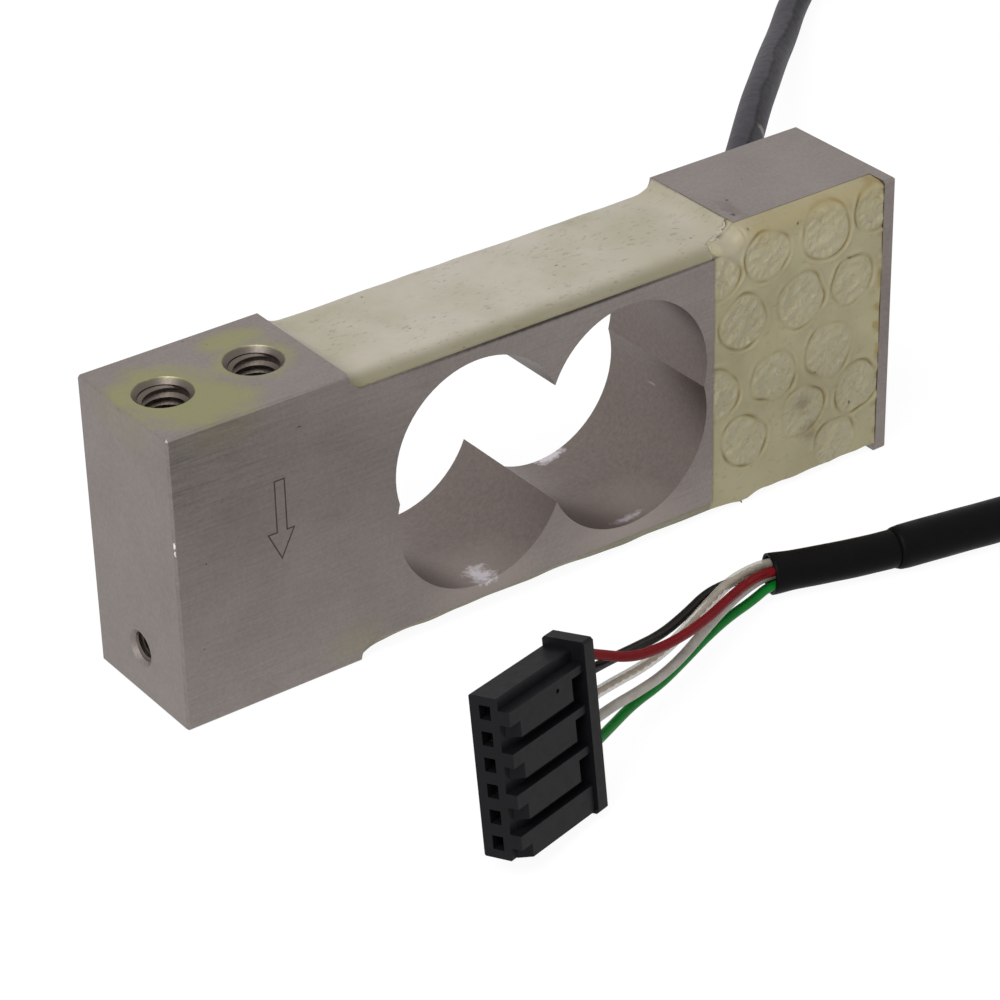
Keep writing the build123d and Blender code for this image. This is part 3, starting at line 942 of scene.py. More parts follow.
def add_tube(
    mesh: bmesh.types.BMesh, line: list[Vector], radius: Callable[[float, float], float], segments: int
) -> None:
    """Add a tube with closed ends along a line.

    Args:
        mesh: The bmesh that takes it.
        line: Its centreline.
        radius: Gives the radius from the share of the length and the angle round it.
        segments: How many sides it has.
    """
    previous = None
    for index, (centre, frame) in enumerate(zip(line, carried_frames(line))):
        share = index / (len(line) - 1)
        ring = bmesh.ops.create_circle(mesh, segments=segments, radius=1.0)["verts"]
        loop = list({edge for vertex in ring for edge in vertex.link_edges})
        for vertex in ring:
            vertex.co *= radius(share, math.atan2(vertex.co.y, vertex.co.x))
        bmesh.ops.transform(mesh, matrix=Matrix.Translation(centre) @ frame.to_4x4(), verts=ring)
        if previous:
            bmesh.ops.bridge_loops(mesh, edges=previous + loop)
        if index in (0, len(line) - 1):
            bmesh.ops.contextual_create(mesh, geom=ring)
        previous = loop


@dataclass(frozen=True)
class ThreadSize:
    """A metric thread.

    Attributes:
        radius: Its nominal radius.
        pitch: The rise of one turn.
        depth: How deep its last turn is.
    """

    radius: float
    pitch: float
    depth: float


M5 = ThreadSize(2.5, 0.8, 9.6)
M3 = ThreadSize(1.5, 0.5, 7.6)


@dataclass(frozen=True)
class Beam:
    """What the beam has beyond its solid: the cut threads and the engraved arrow.

    Attributes:
        shop: Makes the pieces.
        hole_x: How far the four M5 holes are from the beam's middle.
        height: The beam's height.
        arrow: The arrow's corners on the front face, as X and Z.
        front: The front face's Y.
        line_width: The width of the arrow's line.
        line_height: How far it stands off the face, so that it shows.
        thread_sides: How many sides one turn of a thread has.
    """

    shop: Workshop
    hole_x: tuple[float, float] = (39.4, 29.4)
    height: float = 32.0
    arrow: tuple[tuple[float, float], ...] = (
        (-32.86, 23.7), (-31.6, 23.7), (-31.6, 18.15), (-30.75, 18.15), (-32.4, 14.95), (-33.9, 18.15),
        (-32.86, 18.15),
    )
    front: float = -8.0
    line_width: float = 0.15
    line_height: float = 0.01
    thread_sides: int = 32

    def build(self) -> None:
        """Cut the threads and draw the arrow."""
        for index, hole_x in enumerate(self.hole_x):
            top = Matrix.Translation((-hole_x, 0, self.height))
            bottom = Matrix.Translation((hole_x, 0, 0)) @ Matrix.Rotation(math.pi, 4, "X")
            self.thread(f"load_thread_{index + 1}", top, M5)
            self.thread(f"fixing_thread_{index + 1}", bottom, M5)
        end = Matrix.Translation((-44.0, 0, 5.4)) @ Matrix.Rotation(-math.pi / 2, 4, "Y")
        self.thread("end_thread", end, M3)
        self.draw_arrow()

    def thread(self, name: str, place: Matrix, size: ThreadSize) -> None:
        """One internal thread, which runs out to nothing at its mouth.

        Args:
            name: The object's name.
            place: Where its mouth is, with Z pointing out of the hole.
            size: Which thread it is.
        """
        radius, pitch = size.radius, size.pitch
        mesh = bmesh.new()
        crest = radius - 0.54 * pitch
        start = -0.45 * radius / 2.5 - 0.46 * pitch
        outline = ((radius + 0.05, 0.46), (crest, 0.07), (crest, -0.07), (radius + 0.05, -0.46))
        corners = [mesh.verts.new((out, 0, start + rise * pitch)) for out, rise in outline]
        bmesh.ops.contextual_create(mesh, geom=corners)
        turns = (size.depth + start) / pitch
        steps = round(self.thread_sides * turns)
        bmesh.ops.spin(
            mesh,
            geom=mesh.verts[:] + mesh.edges[:] + mesh.faces[:],
            cent=(0, 0, 0),
            axis=(0, 0, 1),
            dvec=(0, 0, -pitch * turns / steps),
            angle=math.tau * turns,
            steps=steps,
        )
        for index, vertex in enumerate(mesh.verts):
            cut = eased(2.5 * index / len(outline) / self.thread_sides)
            out = vertex.co.xy.length
            vertex.co.xy *= 1 + (1 - cut) * (radius + 0.05 - out) / out
        bmesh.ops.transform(mesh, matrix=place, verts=mesh.verts)
        made = self.shop.piece(name, mesh, SHADED_THREAD)
        made.data.shade_flat()

    def draw_arrow(self) -> None:
        """The arrow that shows the load's direction, as a thin dark outline."""
        mesh = bmesh.new()
        face = [mesh.faces.new([mesh.verts.new((x, self.front, z)) for x, z in self.arrow])]
        mesh.normal_update()
        bmesh.ops.inset_region(
            mesh, faces=face, thickness=self.line_width, use_boundary=True, use_even_offset=True
        )
        bmesh.ops.delete(mesh, geom=face, context="FACES_ONLY")
        outline = mesh.faces[:]
        raised = bmesh.ops.extrude_face_region(mesh, geom=outline)["geom"]
        top = [item for item in raised if isinstance(item, bmesh.types.BMVert)]
        bmesh.ops.translate(mesh, vec=(0, -self.line_height, 0), verts=top)
        self.shop.piece("load_arrow", mesh, ENGRAVING).data.shade_flat()


@dataclass(frozen=True)
class Imprint:
    """A round print that packing left in the soft potting.

    Attributes:
        x: Its middle along the beam.
        z: Its middle height.
        radius: Its radius.
        waver: How far its rim strays from round, as a share of the radius.
        groove: The half width of the groove at its rim.
        lip_out: How far outside the rim the raised lip is.
        lip: The lip's half width.
    """

    x: float
    z: float
    radius: float
    waver: float = 0.2
    groove: float = 0.16
    lip_out: float = 0.4
    lip: float = 0.22

    def read(self, x: float, z: float) -> tuple[float, float]:
        """How the print moves the surface at a point.

        Args:
            x: The point's place along the beam.
            z: The point's height.

        Returns:
            The height it adds, in millimetres, and how dark or pale it makes the point.
        """
        off = Vector((x - self.x, z - self.z))
        if off.length > 1.6 * self.radius:
            return 0.0, 0.0
        angle = math.atan2(off.y, off.x)
        wobble = noise.noise((math.cos(angle) + self.x, math.sin(angle) + self.z, 0.3))
        rim = off.length - self.radius * (1 + self.waver * wobble)
        uneven = 0.6 + 1.5 * noise.noise((self.x + 1.5 * math.cos(angle), self.z, 1.5 * math.sin(angle)))
        uneven = min(max(uneven, 0.15), 1.3)
        groove = math.exp(-((rim / self.groove) ** 2)) * uneven
        lip = math.exp(-(((rim - self.lip_out) / self.lip) ** 2)) * uneven
        inside = eased(-rim / 0.6)
        folds = noise.noise((0.45 * x + 0.4 * z, 0.9 * z - 0.6 * x, self.x))
        crumple = noise.noise((0.9 * x - 0.5 * z, 0.8 * z + 0.7 * x, self.z))
        wrinkle = noise.noise((1.1 * z - 0.3 * x, 1.2 * x + 0.5 * z, self.x + 5))
        crease = eased(1 - abs(crumple) / 0.07) * inside
        ridge = eased(1 - abs(wrinkle) / 0.06) * inside
        arcs = math.sin(5.2 * off.length + 4 * wobble) * inside * eased(0.3 + 2 * folds)
        pleats = math.sin(15 * angle + 5 * wobble) * math.exp(-(((rim + 0.75) / 0.45) ** 2))
        pleats *= eased(-math.cos(angle - 0.8))
        height = 0.1 * lip - 0.15 * groove + 0.16 * folds * inside - 0.05 * crease + 0.05 * ridge
        height += 0.03 * arcs + 0.05 * pleats
        # The tone darkens the rim's groove, paints shade in the creases, and paints a highlight on the
        # ridges and inside the print.
        return height, 0.8 * groove + 0.3 * crease - 0.4 * ridge - 0.12 * inside


@dataclass(frozen=True)
class Potting:
    """The skin of the cream rubber in the two recesses and the side pocket.

    Attributes:
        shop: Makes the pieces.
        recess_left: Where the two recesses start along the beam.
        recess_right: Where they end.
        recess_depth: How deep they are.
        floor_corner: The radius where their floors meet their ends.
        half_width: How far the potting reaches from the beam's middle plane.
        back_stretch: By what factor it reaches further at the back.
        climb: The length over which it climbs each end of a recess.
        end_drop: How far below the beam's face it ends there.
        upper_roll: The width over which its upper front edge rolls down.
        lower_roll: The same for the lower front edge.
        back_roll: The same for the back edges.
        pocket_left: Where the side pocket starts along the beam.
        pocket_right: Where it ends.
        pocket_back: The Y of its floor.
        pocket_front: The Y of its potting's face.
        pocket_foot: The height where its potting starts.
        foot_lump: A lump under that edge: its X, its reach and how far it hangs down.
        pocket_roll: The width over which the face rolls back at its top.
        swell_over: How far the pocket's potting stands over the top recess's.
        crown: How much higher the top potting is in the middle than at its edges.
        height: The beam's height.
        grid_step: The size of a face in the recesses.
        pocket_step: The size of a face in the pocket.
        climb_power: How steeply the climb ends; higher is steeper.
        roll_power: How square the recess edges are; higher is squarer.
        pocket_power: The same for the pocket's edges.
        foot_roll: The width over which the face rolls back at its foot.
        foot_wave: How far the lower edge waves.
        pocket_swell: How far the face waves.
        wall_lip: How far the potting stands up against the pocket's right wall.
        wall_sink: How far it sinks along the left wall.
        upper_thickness: How thick the top potting is.
        lower_thickness: The same underneath, at the left.
        lower_growth: How much thicker it is there at the right.
        upper_rough: How far the top potting waves.
        lower_rough: The same underneath.
        skin_cover: How far the skin stays above the recess floor at least.
        imprints: The round prints in the pocket's face.
    """

    shop: Workshop
    recess_left: float = -24.0
    recess_right: float = 24.3
    recess_depth: float = 1.9
    floor_corner: float = 1.8
    half_width: float = 7.75
    back_stretch: float = 1.027
    climb: float = 2.6
    end_drop: float = 0.12
    upper_roll: float = 2.4
    lower_roll: float = 0.4
    back_roll: float = 0.6
    pocket_left: float = 20.0
    pocket_right: float = 42.4
    pocket_back: float = -5.6
    pocket_front: float = -7.86
    pocket_foot: float = 0.45
    foot_lump: tuple[float, float, float] = (24.2, 1.4, 0.56)
    pocket_roll: float = 1.7
    swell_over: float = 0.4
    crown: float = 0.3
    height: float = 32.0
    grid_step: float = 0.2
    pocket_step: float = 0.13
    climb_power: float = 2.4
    roll_power: float = 2.4
    pocket_power: float = 2.6
    foot_roll: float = 0.8
    foot_wave: float = 0.2
    pocket_swell: float = 0.12
    wall_lip: float = 0.11
    wall_sink: float = 0.15
    upper_thickness: float = 0.6
    lower_thickness: float = 0.7
    lower_growth: float = 0.6
    upper_rough: float = 0.05
    lower_rough: float = 0.12
    skin_cover: float = 0.01
    imprints: tuple[Imprint, ...] = (
        Imprint(27.0, 28.2, 2.9), Imprint(34.8, 28.7, 3.1), Imprint(41.2, 29.3, 2.7),
        Imprint(21.0, 27.6, 2.6), Imprint(31.8, 21.7, 3.0), Imprint(38.6, 21.9, 2.9),
        Imprint(23.9, 21.5, 3.0), Imprint(35.6, 14.6, 3.1), Imprint(28.2, 14.1, 3.0),
        Imprint(20.6, 14.1, 2.9), Imprint(39.6, 8.9, 2.9), Imprint(32.2, 8.5, 2.9), Imprint(24.3, 7.7, 3.0),
        Imprint(36.6, 3.3, 2.8),
    )

    def build(self) -> None:
        """Make the three pieces and the torn edge between two of them."""
        upper = self.recess_skin("top_potting", Side.UPPER)
        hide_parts("upper_sealant")
        lower = self.recess_skin("bottom_potting", Side.LOWER)
        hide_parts("lower_sealant")
        pocket = self.pocket_skin()
        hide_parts("pocket_sealant")
        self.torn_edge()

    def rise(self, x: float, side: Side) -> float:
        """How far the potting climbs at a place near either end of the recess.

        Args:
            x: A place along the beam.
            side: Which recess it lies in.

        Returns:
            The climb, in millimetres.
        """
        inward = self.climb - min(x - self.recess_left, self.recess_right - x)
        if inward <= 0:
            return 0.0
        room = self.recess_depth - self.end_drop - self.thickness(x, side)
        return room * (inward / self.climb) ** self.climb_power

    def seam(self, x: float) -> float:
        """Where the top potting meets the pocket's, across the beam.

        Args:
            x: A place along the beam.

        Returns:
            The seam's Y, in millimetres.
        """
        if x > self.recess_right:
            return self.pocket_back
        return -6.6 + 0.5 * (x - self.pocket_left) + 0.5 * noise.noise((1.3 * x, 7.0, 1.0))

    def over_pocket(self, x: float, y: float, side: Side) -> float:
        """How fully, from 0 to 1, a place in the top recess lies over the pocket's potting.

        Args:
            x: A place along the beam.
            y: A place across it.
            side: Which recess it lies in.

        Returns:
            The share.
        """
        if side is Side.LOWER or x < self.pocket_left:
            return 0.0
        return eased((self.seam(x) - y) / 0.3) * eased((x - self.pocket_left) / 0.7)

    def floor(self, x: float, y: float, side: Side) -> float:
        """The recess floor's rise towards its rounded ends.

        Args:
            x: A place along the beam.
            y: A place across it.
            side: Which recess it lies in.

        Returns:
            The rise, in millimetres.
        """
        inward = self.floor_corner - min(x - self.recess_left, self.recess_right - x)
        if inward <= 0:
            return 0.0
        rise = self.floor_corner - math.sqrt(max(self.floor_corner**2 - inward**2, 0.0))
        return rise * (1 - self.over_pocket(x, y, side))

    def thickness(self, x: float, side: Side) -> float:
        """How thick the potting lies on the recess floor.

        Args:
            x: A place along the beam.
            side: Which recess it lies in.

        Returns:
            The thickness, in millimetres.
        """
        if side is Side.UPPER:
            return self.upper_thickness
        return self.lower_thickness + self.lower_growth * eased((x + 6) / 24)

    def skin_level(self, x: float, y: float, side: Side) -> float:
        """The potting's level over the recess floor.

        Args:
            x: A place along the beam.
            y: A place across it.
            side: Which recess it lies in.

        Returns:
            The level, in millimetres.
        """
        level = self.thickness(x, side) + self.rise(x, side)
        rough, roll = self.upper_rough, self.upper_roll
        if side is Side.LOWER:
            rough, roll = self.lower_rough, self.lower_roll
        if y > 0:
            roll = self.back_roll
        level += rough * noise.noise((0.25 * x, 0.35 * y, side.value)) * 2
        if side is Side.UPPER:
            level += self.crown * (0.5 - (y / self.half_width) ** 2)
        level = min(level, self.recess_depth - 0.06)
        past = (abs(y) - self.half_width + roll) / roll
        beside_pocket = side is Side.UPPER and y < 0 and x > self.pocket_left
        if past > 0 and not beside_pocket:
            level *= (1 - min(past, 1.0) ** self.roll_power) ** 0.5
        level *= 1 - self.over_pocket(x, y, side)
        return max(level, self.floor(x, y, side) + self.skin_cover)

    def painted_edge_shade(self, co: Vector) -> float:
        """How much painted olive shade the top potting has, towards its front edge and in its climbing
        ends.

        Args:
            co: The point.

        Returns:
            The tone, from 0 to 1.
        """
        front = eased((-co.y - self.half_width + 2.8) / 2.4)
        inward = self.climb - min(co.x - self.recess_left, self.recess_right - co.x)
        return min(1.0, 0.9 * front + 0.3 * eased(inward / self.climb))

    def recess_skin(self, name: str, side: Side) -> bpy.types.Object:
        """The potting on one recess floor.

        Args:
            name: The object's name.
            side: Which recess it lies in.

        Returns:
            The object.
        """
        mesh = bmesh.new()
        length = self.recess_right - self.recess_left
        columns, rows = round(length / self.grid_step), round(2 * self.half_width / self.grid_step)
        bmesh.ops.create_grid(mesh, x_segments=columns, y_segments=rows, size=1.0)
        middle = (self.recess_left + self.recess_right) / 2
        bmesh.ops.scale(mesh, vec=(length / 2, self.half_width, 1), verts=mesh.verts)
        bmesh.ops.translate(mesh, vec=(middle, 0, 0), verts=mesh.verts)
        base = mesh.verts[:]
        raised = bmesh.ops.extrude_face_region(mesh, geom=mesh.faces[:])["geom"]
        skin = [item for item in raised if isinstance(item, bmesh.types.BMVert)]
        for vertex in base:
            vertex.co.z = self.floor(vertex.co.x, vertex.co.y, side)
        for vertex in skin:
            vertex.co.z = self.skin_level(vertex.co.x, vertex.co.y, side)
        floor_level = self.height / 2 - self.recess_depth
        for vertex in mesh.verts:
            vertex.co.z = self.height / 2 + side.value * (floor_level + vertex.co.z)
            if vertex.co.y > 0:
                vertex.co.y *= self.back_stretch
        return self.shop.piece(name, mesh, TOP_POTTING, self.painted_edge_shade)

    def pocket_top(self, x: float) -> float:
        """The height of the pocket potting's back edge.

        Args:
            x: A place along the beam.

        Returns:
            The height, in millimetres.
        """
        if x > self.recess_right:
            return self.height - 0.04
        level = self.thickness(x, Side.UPPER) + self.rise(x, Side.UPPER) - 0.3
        level += (self.swell_over + 0.3) * eased((x - self.pocket_left) / 1.4)
        return self.height - self.recess_depth + min(level, self.recess_depth - 0.04)

    def pocket_base(self, x: float) -> float:
        """The height of the pocket potting's lower edge, with a lump beside the recess.

        Args:
            x: A place along the beam.

        Returns:
            The height, in millimetres.
        """
        centre, reach, drop = self.foot_lump
        lump = drop * math.exp(-(((x - centre) / reach) ** 2))
        wave = self.foot_wave * noise.noise((0.4 * x, 5.0, 0.0))
        return max(self.pocket_foot + wave - lump, 0.04)

    def print_at(self, x: float, z: float) -> tuple[float, float]:
        """What all the prints add at a point of the pocket's face."""
        reads = [imprint.read(x, z) for imprint in self.imprints]
        return sum(height for height, _ in reads), sum(tone for _, tone in reads)

    def pocket_face(self, x: float, z: float, top: float) -> float:
        """How far forward the pocket potting's face is.

        Args:
            x: A place along the beam.
            z: A height.
            top: The height of the potting's back edge there.

        Returns:
            The face's Y, in millimetres.
        """
        roll = self.pocket_roll * (1 - 0.6 * eased((x - self.pocket_right + 3.4) / 3))
        above, below = (z - top) / roll + 1, (self.pocket_base(x) - z) / self.foot_roll + 1
        back = self.seam(x) if above > 0 else self.pocket_back
        near_edge = min(max(above, below, 0.0), 1.0)
        round_off = (1 - near_edge**self.pocket_power) ** (1 / self.pocket_power)
        swell = self.pocket_swell * noise.noise((0.2 * x, 0.2 * z, 4.0))
        swell += self.print_at(x, z)[0] * round_off
        right = math.exp(-(((self.pocket_right - x) / 0.35) ** 2))
        right *= 0.6 + noise.noise((1.0, 3.0, 0.5 * z))
        left = math.exp(-(((x - self.pocket_left) / 0.25) ** 2))
        forward = (back - self.pocket_front) * round_off + swell * round_off
        return back - forward - self.wall_lip * right + self.wall_sink * left

    def pocket_skin(self) -> bpy.types.Object:
        """The potting in the side pocket, with its prints.

        Returns:
            The object.
        """
        mesh = bmesh.new()
        length = self.pocket_right - self.pocket_left
        tall = self.height - self.pocket_foot
        columns, rows = round(length / self.pocket_step), round(tall / self.pocket_step)
        bmesh.ops.create_grid(mesh, x_segments=columns, y_segments=rows, size=0.5)
        raised = bmesh.ops.extrude_face_region(mesh, geom=mesh.faces[:])["geom"]
        skin = {item for item in raised if isinstance(item, bmesh.types.BMVert)}
        for vertex in mesh.verts:
            x = self.pocket_left + (vertex.co.x + 0.5) * length
            top = self.pocket_top(x)
            foot = self.pocket_base(x)
            share = 0.5 - 0.5 * math.cos(math.pi * (vertex.co.y + 0.5))
            share = 0.75 * (vertex.co.y + 0.5) + 0.25 * share
            z = foot + share * (top - foot)
            y = self.pocket_face(x, z, top) if vertex in skin else self.pocket_back
            vertex.co = (x, y, z)
        return self.shop.piece("side_potting", mesh, SIDE_POTTING, self.pocket_tone)

    def pocket_tone(self, co: Vector) -> float:
        """How dark or pale a point of the pocket's face is, from the prints, the painted shade along the
        top and the flakes on the right wall.

        Args:
            co: The point.

        Returns:
            The tone, up to 1.
        """
        flakes = eased(0.2 + 2.5 * noise.noise((2.0, 0.9 * co.z, 0.0)))
        edge = math.exp(-(((self.pocket_right - co.x) / 0.4) ** 2)) * flakes
        # Painted shade along the top, where the potting rolls back.
        shaded = 0.5 * eased((co.z - self.height + 4.0) / 3.8)
        return min(1.0, self.print_at(co.x, co.z)[1] + edge + shaded)

    def torn_edge(self) -> None:
        """The small ragged flap where the top potting meets the pocket's."""
        line = []
        for index in range(46):
            x = 20.1 + 0.1 * index
            jag = 0.5 * noise.noise((2.6 * x, 1.0, 2.0))
            seam = self.seam(min(x, self.recess_right))
            line.append(Vector((x, seam + jag, self.pocket_top(x) - 0.05)))

        def ragged(share: float, angle: float) -> float:
            """The flap's uneven radius."""
            lump = noise.noise((11 * share, 1.6 * math.cos(angle), 1.6 * math.sin(angle)))
            return (0.16 + 0.22 * lump) * math.sin(math.pi * min(max(share, 0.03), 0.97)) ** 0.5

        mesh = bmesh.new()
        add_tube(mesh, line, ragged, 14)
        self.shop.piece("torn_potting", mesh, TOP_POTTING)


@dataclass
class Cable:
    """The jacket, its two sleeves, the wires and the drain strands.

    Attributes:
        shop: Makes the pieces.
        jacket_radius: The cable's radius.
        wire_radius: An insulated wire's radius.
        drain_radius: The clear sleeve's radius.
        sleeve_wall: How thick the shrunk sleeves are.
        strand_radius: One drain strand's radius.
        strand_ring: How far each strand is from the sleeve's middle.
        strand_pitch: The length of one turn of the strands.
        strand_count: How many strands there are.
        strand_step: How far apart the rings of a strand are.
        ring_radius: How far four of the wires are from the thin sleeve's middle.
        wire_end_gap: How far the wires stop short of the jacket's end.
        jacket_end_index: Which point of the sleeves' axis the jacket ends at.
        exit: Where the cable leaves the back face; not used.
        sleeve_axis: The sleeves' axis, from the jacket to the wires.
        jacket_route: The jacket's route, from the beam to the sleeves' axis.
        ring_side: The way across the thin sleeve in which a wire at 0 degrees lies.
        ring_front: The same for 90 degrees.
        ring_angles: Each wire's angle round the thin sleeve; one with none lies in the middle.
        wire_routes: Each wire's route from the connector to the sleeve's mouth.
    """

    shop: Workshop
    jacket_radius: float = 2.0
    wire_radius: float = 0.5
    drain_radius: float = 0.55
    sleeve_wall: float = 0.22
    strand_radius: float = 0.14
    strand_ring: float = 0.16
    strand_pitch: float = 4.2
    strand_count: int = 3
    strand_step: float = 0.3
    ring_radius: float = 1.08
    wire_end_gap: float = 0.3
    jacket_end_index: int = 3
    exit: Point = (39.5, 8.0, 14.5)
    sleeve_axis: tuple[Point, ...] = (
        (53.0, -31.0, 2.3), (46.5, -30.3, 2.3), (40.2, -29.2, 2.3), (34.2, -28.0, 2.3), (28.2, -26.9, 2.3),
        (21.9, -25.2, 2.3), (15.3, -22.9, 2.3),
    )
    jacket_route: tuple[Point, ...] = (
        (39.5, 4.6, 14.5), (39.5, 12.0, 14.5), (41.9, 19.1, 14.5), (46.6, 25.0, 14.5), (52.9, 29.1, 14.4),
        (58.9, 34.8, 14.0), (65.0, 41.0, 13.1), (72.7, 48.8, 11.8), (80.3, 56.3, 10.0), (89.1, 65.3, 7.4),
        (98.8, 74.8, 4.7), (109.0, 84.9, 2.9), (119.0, 93.0, 2.1), (131.5, 98.6, 2.1), (145.0, 98.2, 2.1),
        (156.0, 90.2, 2.1), (160.4, 77.0, 2.1), (157.5, 61.5, 2.1), (149.5, 45.0, 2.1), (137.5, 28.0, 2.1),
        (123.0, 10.5, 2.1), (107.0, -7.0, 2.1), (90.0, -20.5, 2.1), (73.0, -28.6, 2.1), (62.0, -31.2, 2.2),
    )
    ring_side: Point = (0.17, 0.502, 0.848)
    ring_front: Point = (-0.273, -0.803, 0.53)
    ring_angles: dict[str, float] = field(
        default_factory=lambda: {"red": 72.0, "black": -72.0, "drain": 0.0, "green": 150.0}
    )
    wire_routes: dict[str, tuple[Point, ...]] = field(
        default_factory=lambda: {
            "red": (
                (-24.4, -38.8, 15.0), (-19.8, -37.1, 14.5), (-15.9, -36.1, 12.1), (-12.0, -35.5, 9.9),
                (-7.6, -34.1, 8.4), (-3.0, -32.3, 7.2), (1.8, -30.0, 6.1), (6.6, -27.4, 5.3),
                (11.1, -25.2, 4.4),
            ),
            "black": (
                (-25.0, -39.4, 12.6), (-19.9, -37.6, 12.0), (-14.4, -34.8, 10.1), (-9.0, -32.0, 7.9),
                (-3.9, -29.7, 6.2), (1.2, -27.1, 5.2), (5.9, -24.7, 4.7), (10.6, -23.1, 3.4),
            ),
            "drain": (
                (-25.1, -39.9, 10.1), (-20.0, -38.1, 9.5), (-14.6, -35.8, 8.2), (-10.0, -34.0, 7.0),
                (-5.4, -32.0, 6.1), (-0.9, -29.7, 5.6), (3.8, -27.2, 5.3), (8.4, -24.9, 5.0),
                (12.2, -23.4, 4.2),
            ),
            "white": (
                (-25.2, -40.4, 7.6), (-20.1, -38.6, 7.0), (-15.1, -36.4, 6.1), (-11.1, -35.0, 5.3),
                (-7.0, -33.4, 4.5), (-2.7, -31.4, 4.0), (2.0, -28.9, 3.8), (6.5, -26.6, 3.6),
                (11.0, -24.5, 3.1),
            ),
            "green": (
                (-25.3, -40.8, 5.1), (-20.3, -39.1, 4.5), (-14.9, -36.0, 3.5), (-10.3, -33.6, 3.0),
                (-5.8, -31.9, 2.4), (-1.5, -29.9, 2.1), (3.0, -27.9, 2.1), (7.4, -26.2, 2.0),
                (11.3, -25.1, 1.8),
            ),
        }
    )

    def build(self) -> None:
        points = [*self.jacket_route, *self.sleeve_axis[: self.jacket_end_index + 1]]
        jacket = self.shop.cord("cable", points, self.jacket_radius, JACKET)
        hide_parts("cable_jacket")
        sleeves = self.sleeves()
        self.declare(
            points
        )
        for name, finish in (("red", RED), ("black", BLACK), ("white", WHITE), ("green", GREEN)):
            self.wire(name, finish)
        self.drain()

    def declare(
        self,
        points: list[Point],
    ) -> None:
        """Work out a route's real length, which is then dropped.

        Args:
            points: The route, in millimetres.
        """
        MM * length_of(centreline(points))

    def sleeves(self) -> list[bpy.types.Object]:
        """The thin sleeve round the wires and the thick one over the joint.

        Returns:
            The thin sleeve and the thick one.
        """
        thin = self.sleeve("wire_sleeve", self.sleeve_axis[3:], ((0.0, 1.97), (0.86, 1.99), (1.0, 2.14)))
        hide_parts("thin_sleeve")
        steps = ((0.0, 2.1), (0.05, 2.27), (0.95, 2.27), (0.985, 2.2), (1.0, 2.04))
        thick = self.sleeve("joint_sleeve", self.sleeve_axis[:5], steps)
        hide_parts("thick_sleeve")
        return [thin, thick]

    def sleeve(
        self, name: str, points: tuple[Point, ...], steps: tuple[tuple[float, float], ...]
    ) -> bpy.types.Object:
        """A shrunk sleeve with an open mouth at its last end.

        Args:
            name: The object's name.
            points: Its axis.
            steps: Shares of its length and the radius at each.

        Returns:
            The sleeve.
        """
        line = resample(centreline(list(points)), 0.4)

        def radius(share: float, angle: float) -> float:
            """The sleeve's radius, a little uneven."""
            for (low, first), (high, second) in zip(steps, steps[1:]):
                if share <= high:
                    size = first + (second - first) * eased((share - low) / (high - low))
                    break
            return size * (1 + 0.012 * noise.noise((7 * share, math.cos(angle), math.sin(angle))))

        mesh = bmesh.new()
        add_tube(mesh, line, radius, 40)
        ends = [face for face in mesh.faces if len(face.verts) == 40]
        bmesh.ops.delete(mesh, geom=ends, context="FACES_ONLY")
        made = self.shop.piece(name, mesh, SHRINK)
        wall = made.modifiers.new("wall", "SOLIDIFY")
        wall.thickness = self.sleeve_wall * MM
        wall.offset = -1.0
        return made

    def wire_points(self, name: str) -> list[Point]:
        """A wire's whole route, from the connector to the jacket's end.

        Args:
            name: The wire's name.

        Returns:
            The route, in millimetres.
        """
        offset = Vector()
        if name in self.ring_angles:
            angle = math.radians(self.ring_angles[name])
            offset = Vector(self.ring_side) * math.cos(angle) + Vector(self.ring_front) * math.sin(angle)
        inner = reversed(self.sleeve_axis[self.jacket_end_index :])
        inside = [Vector(point) + offset * self.ring_radius for point in inner]
        inside[-1] -= (inside[-1] - inside[-2]).normalized() * self.wire_end_gap
        return [*self.wire_routes[name], *(tuple(point) for point in inside)]

    def wire(self, name: str, finish: Finish) -> None:
        """One insulated wire from the jacket's end to the connector.

        Args:
            name: The wire's name.
            finish: The finish.
        """
        points = self.wire_points(name)
        made = self.shop.cord(f"{name}_lead", points, self.wire_radius, finish)
        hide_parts(f"{name}_wire")
        self.declare_wire(points)

    def declare_wire(
        self, points: list[Point]
    ) -> None:
        """Work out a wire route's length, which is then dropped."""
        self.declare(points)

    def drain(self) -> None:
        """The clear sleeve with the twisted strands in it."""
        points = self.wire_points("drain")
        tube = self.shop.cord("clear_lead", points, self.drain_radius, CLEAR)
        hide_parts("drain_sleeve")
        mesh = bmesh.new()
        line = resample(centreline(points), self.strand_step)
        for index in range(self.strand_count):
            phase = math.tau * index / self.strand_count
            add_tube(mesh, self.twisted(line, phase), lambda share, angle: self.strand_radius, 8)
        strands = self.shop.piece("drain_strands", mesh, STRAND)
        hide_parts("drain_wire")
        self.declare_wire(points)

    def twisted(self, line: list[Vector], phase: float) -> list[Vector]:
        """Points that wind round a line, from a starting angle.

        Args:
            line: The line's points.
            phase: The starting angle, in radians.

        Returns:
            The winding points.
        """
        wound = []
        for index, (centre, frame) in enumerate(zip(line, carried_frames(line))):
            angle = phase + math.tau * index * self.strand_step / self.strand_pitch
            out = Vector((math.cos(angle), math.sin(angle), 0)) * self.strand_ring
            wound.append(centre + frame @ out)
        return wound


@dataclass(frozen=True)
class Lamp:
    """A large soft lamp that faces the part.

    Attributes:
        name: Its name.
        place: Where it stands, in metres.
        size: Its side, in metres.
        power: Its power in watts.
    """

    name: str
    place: Point
    size: float
    power: float


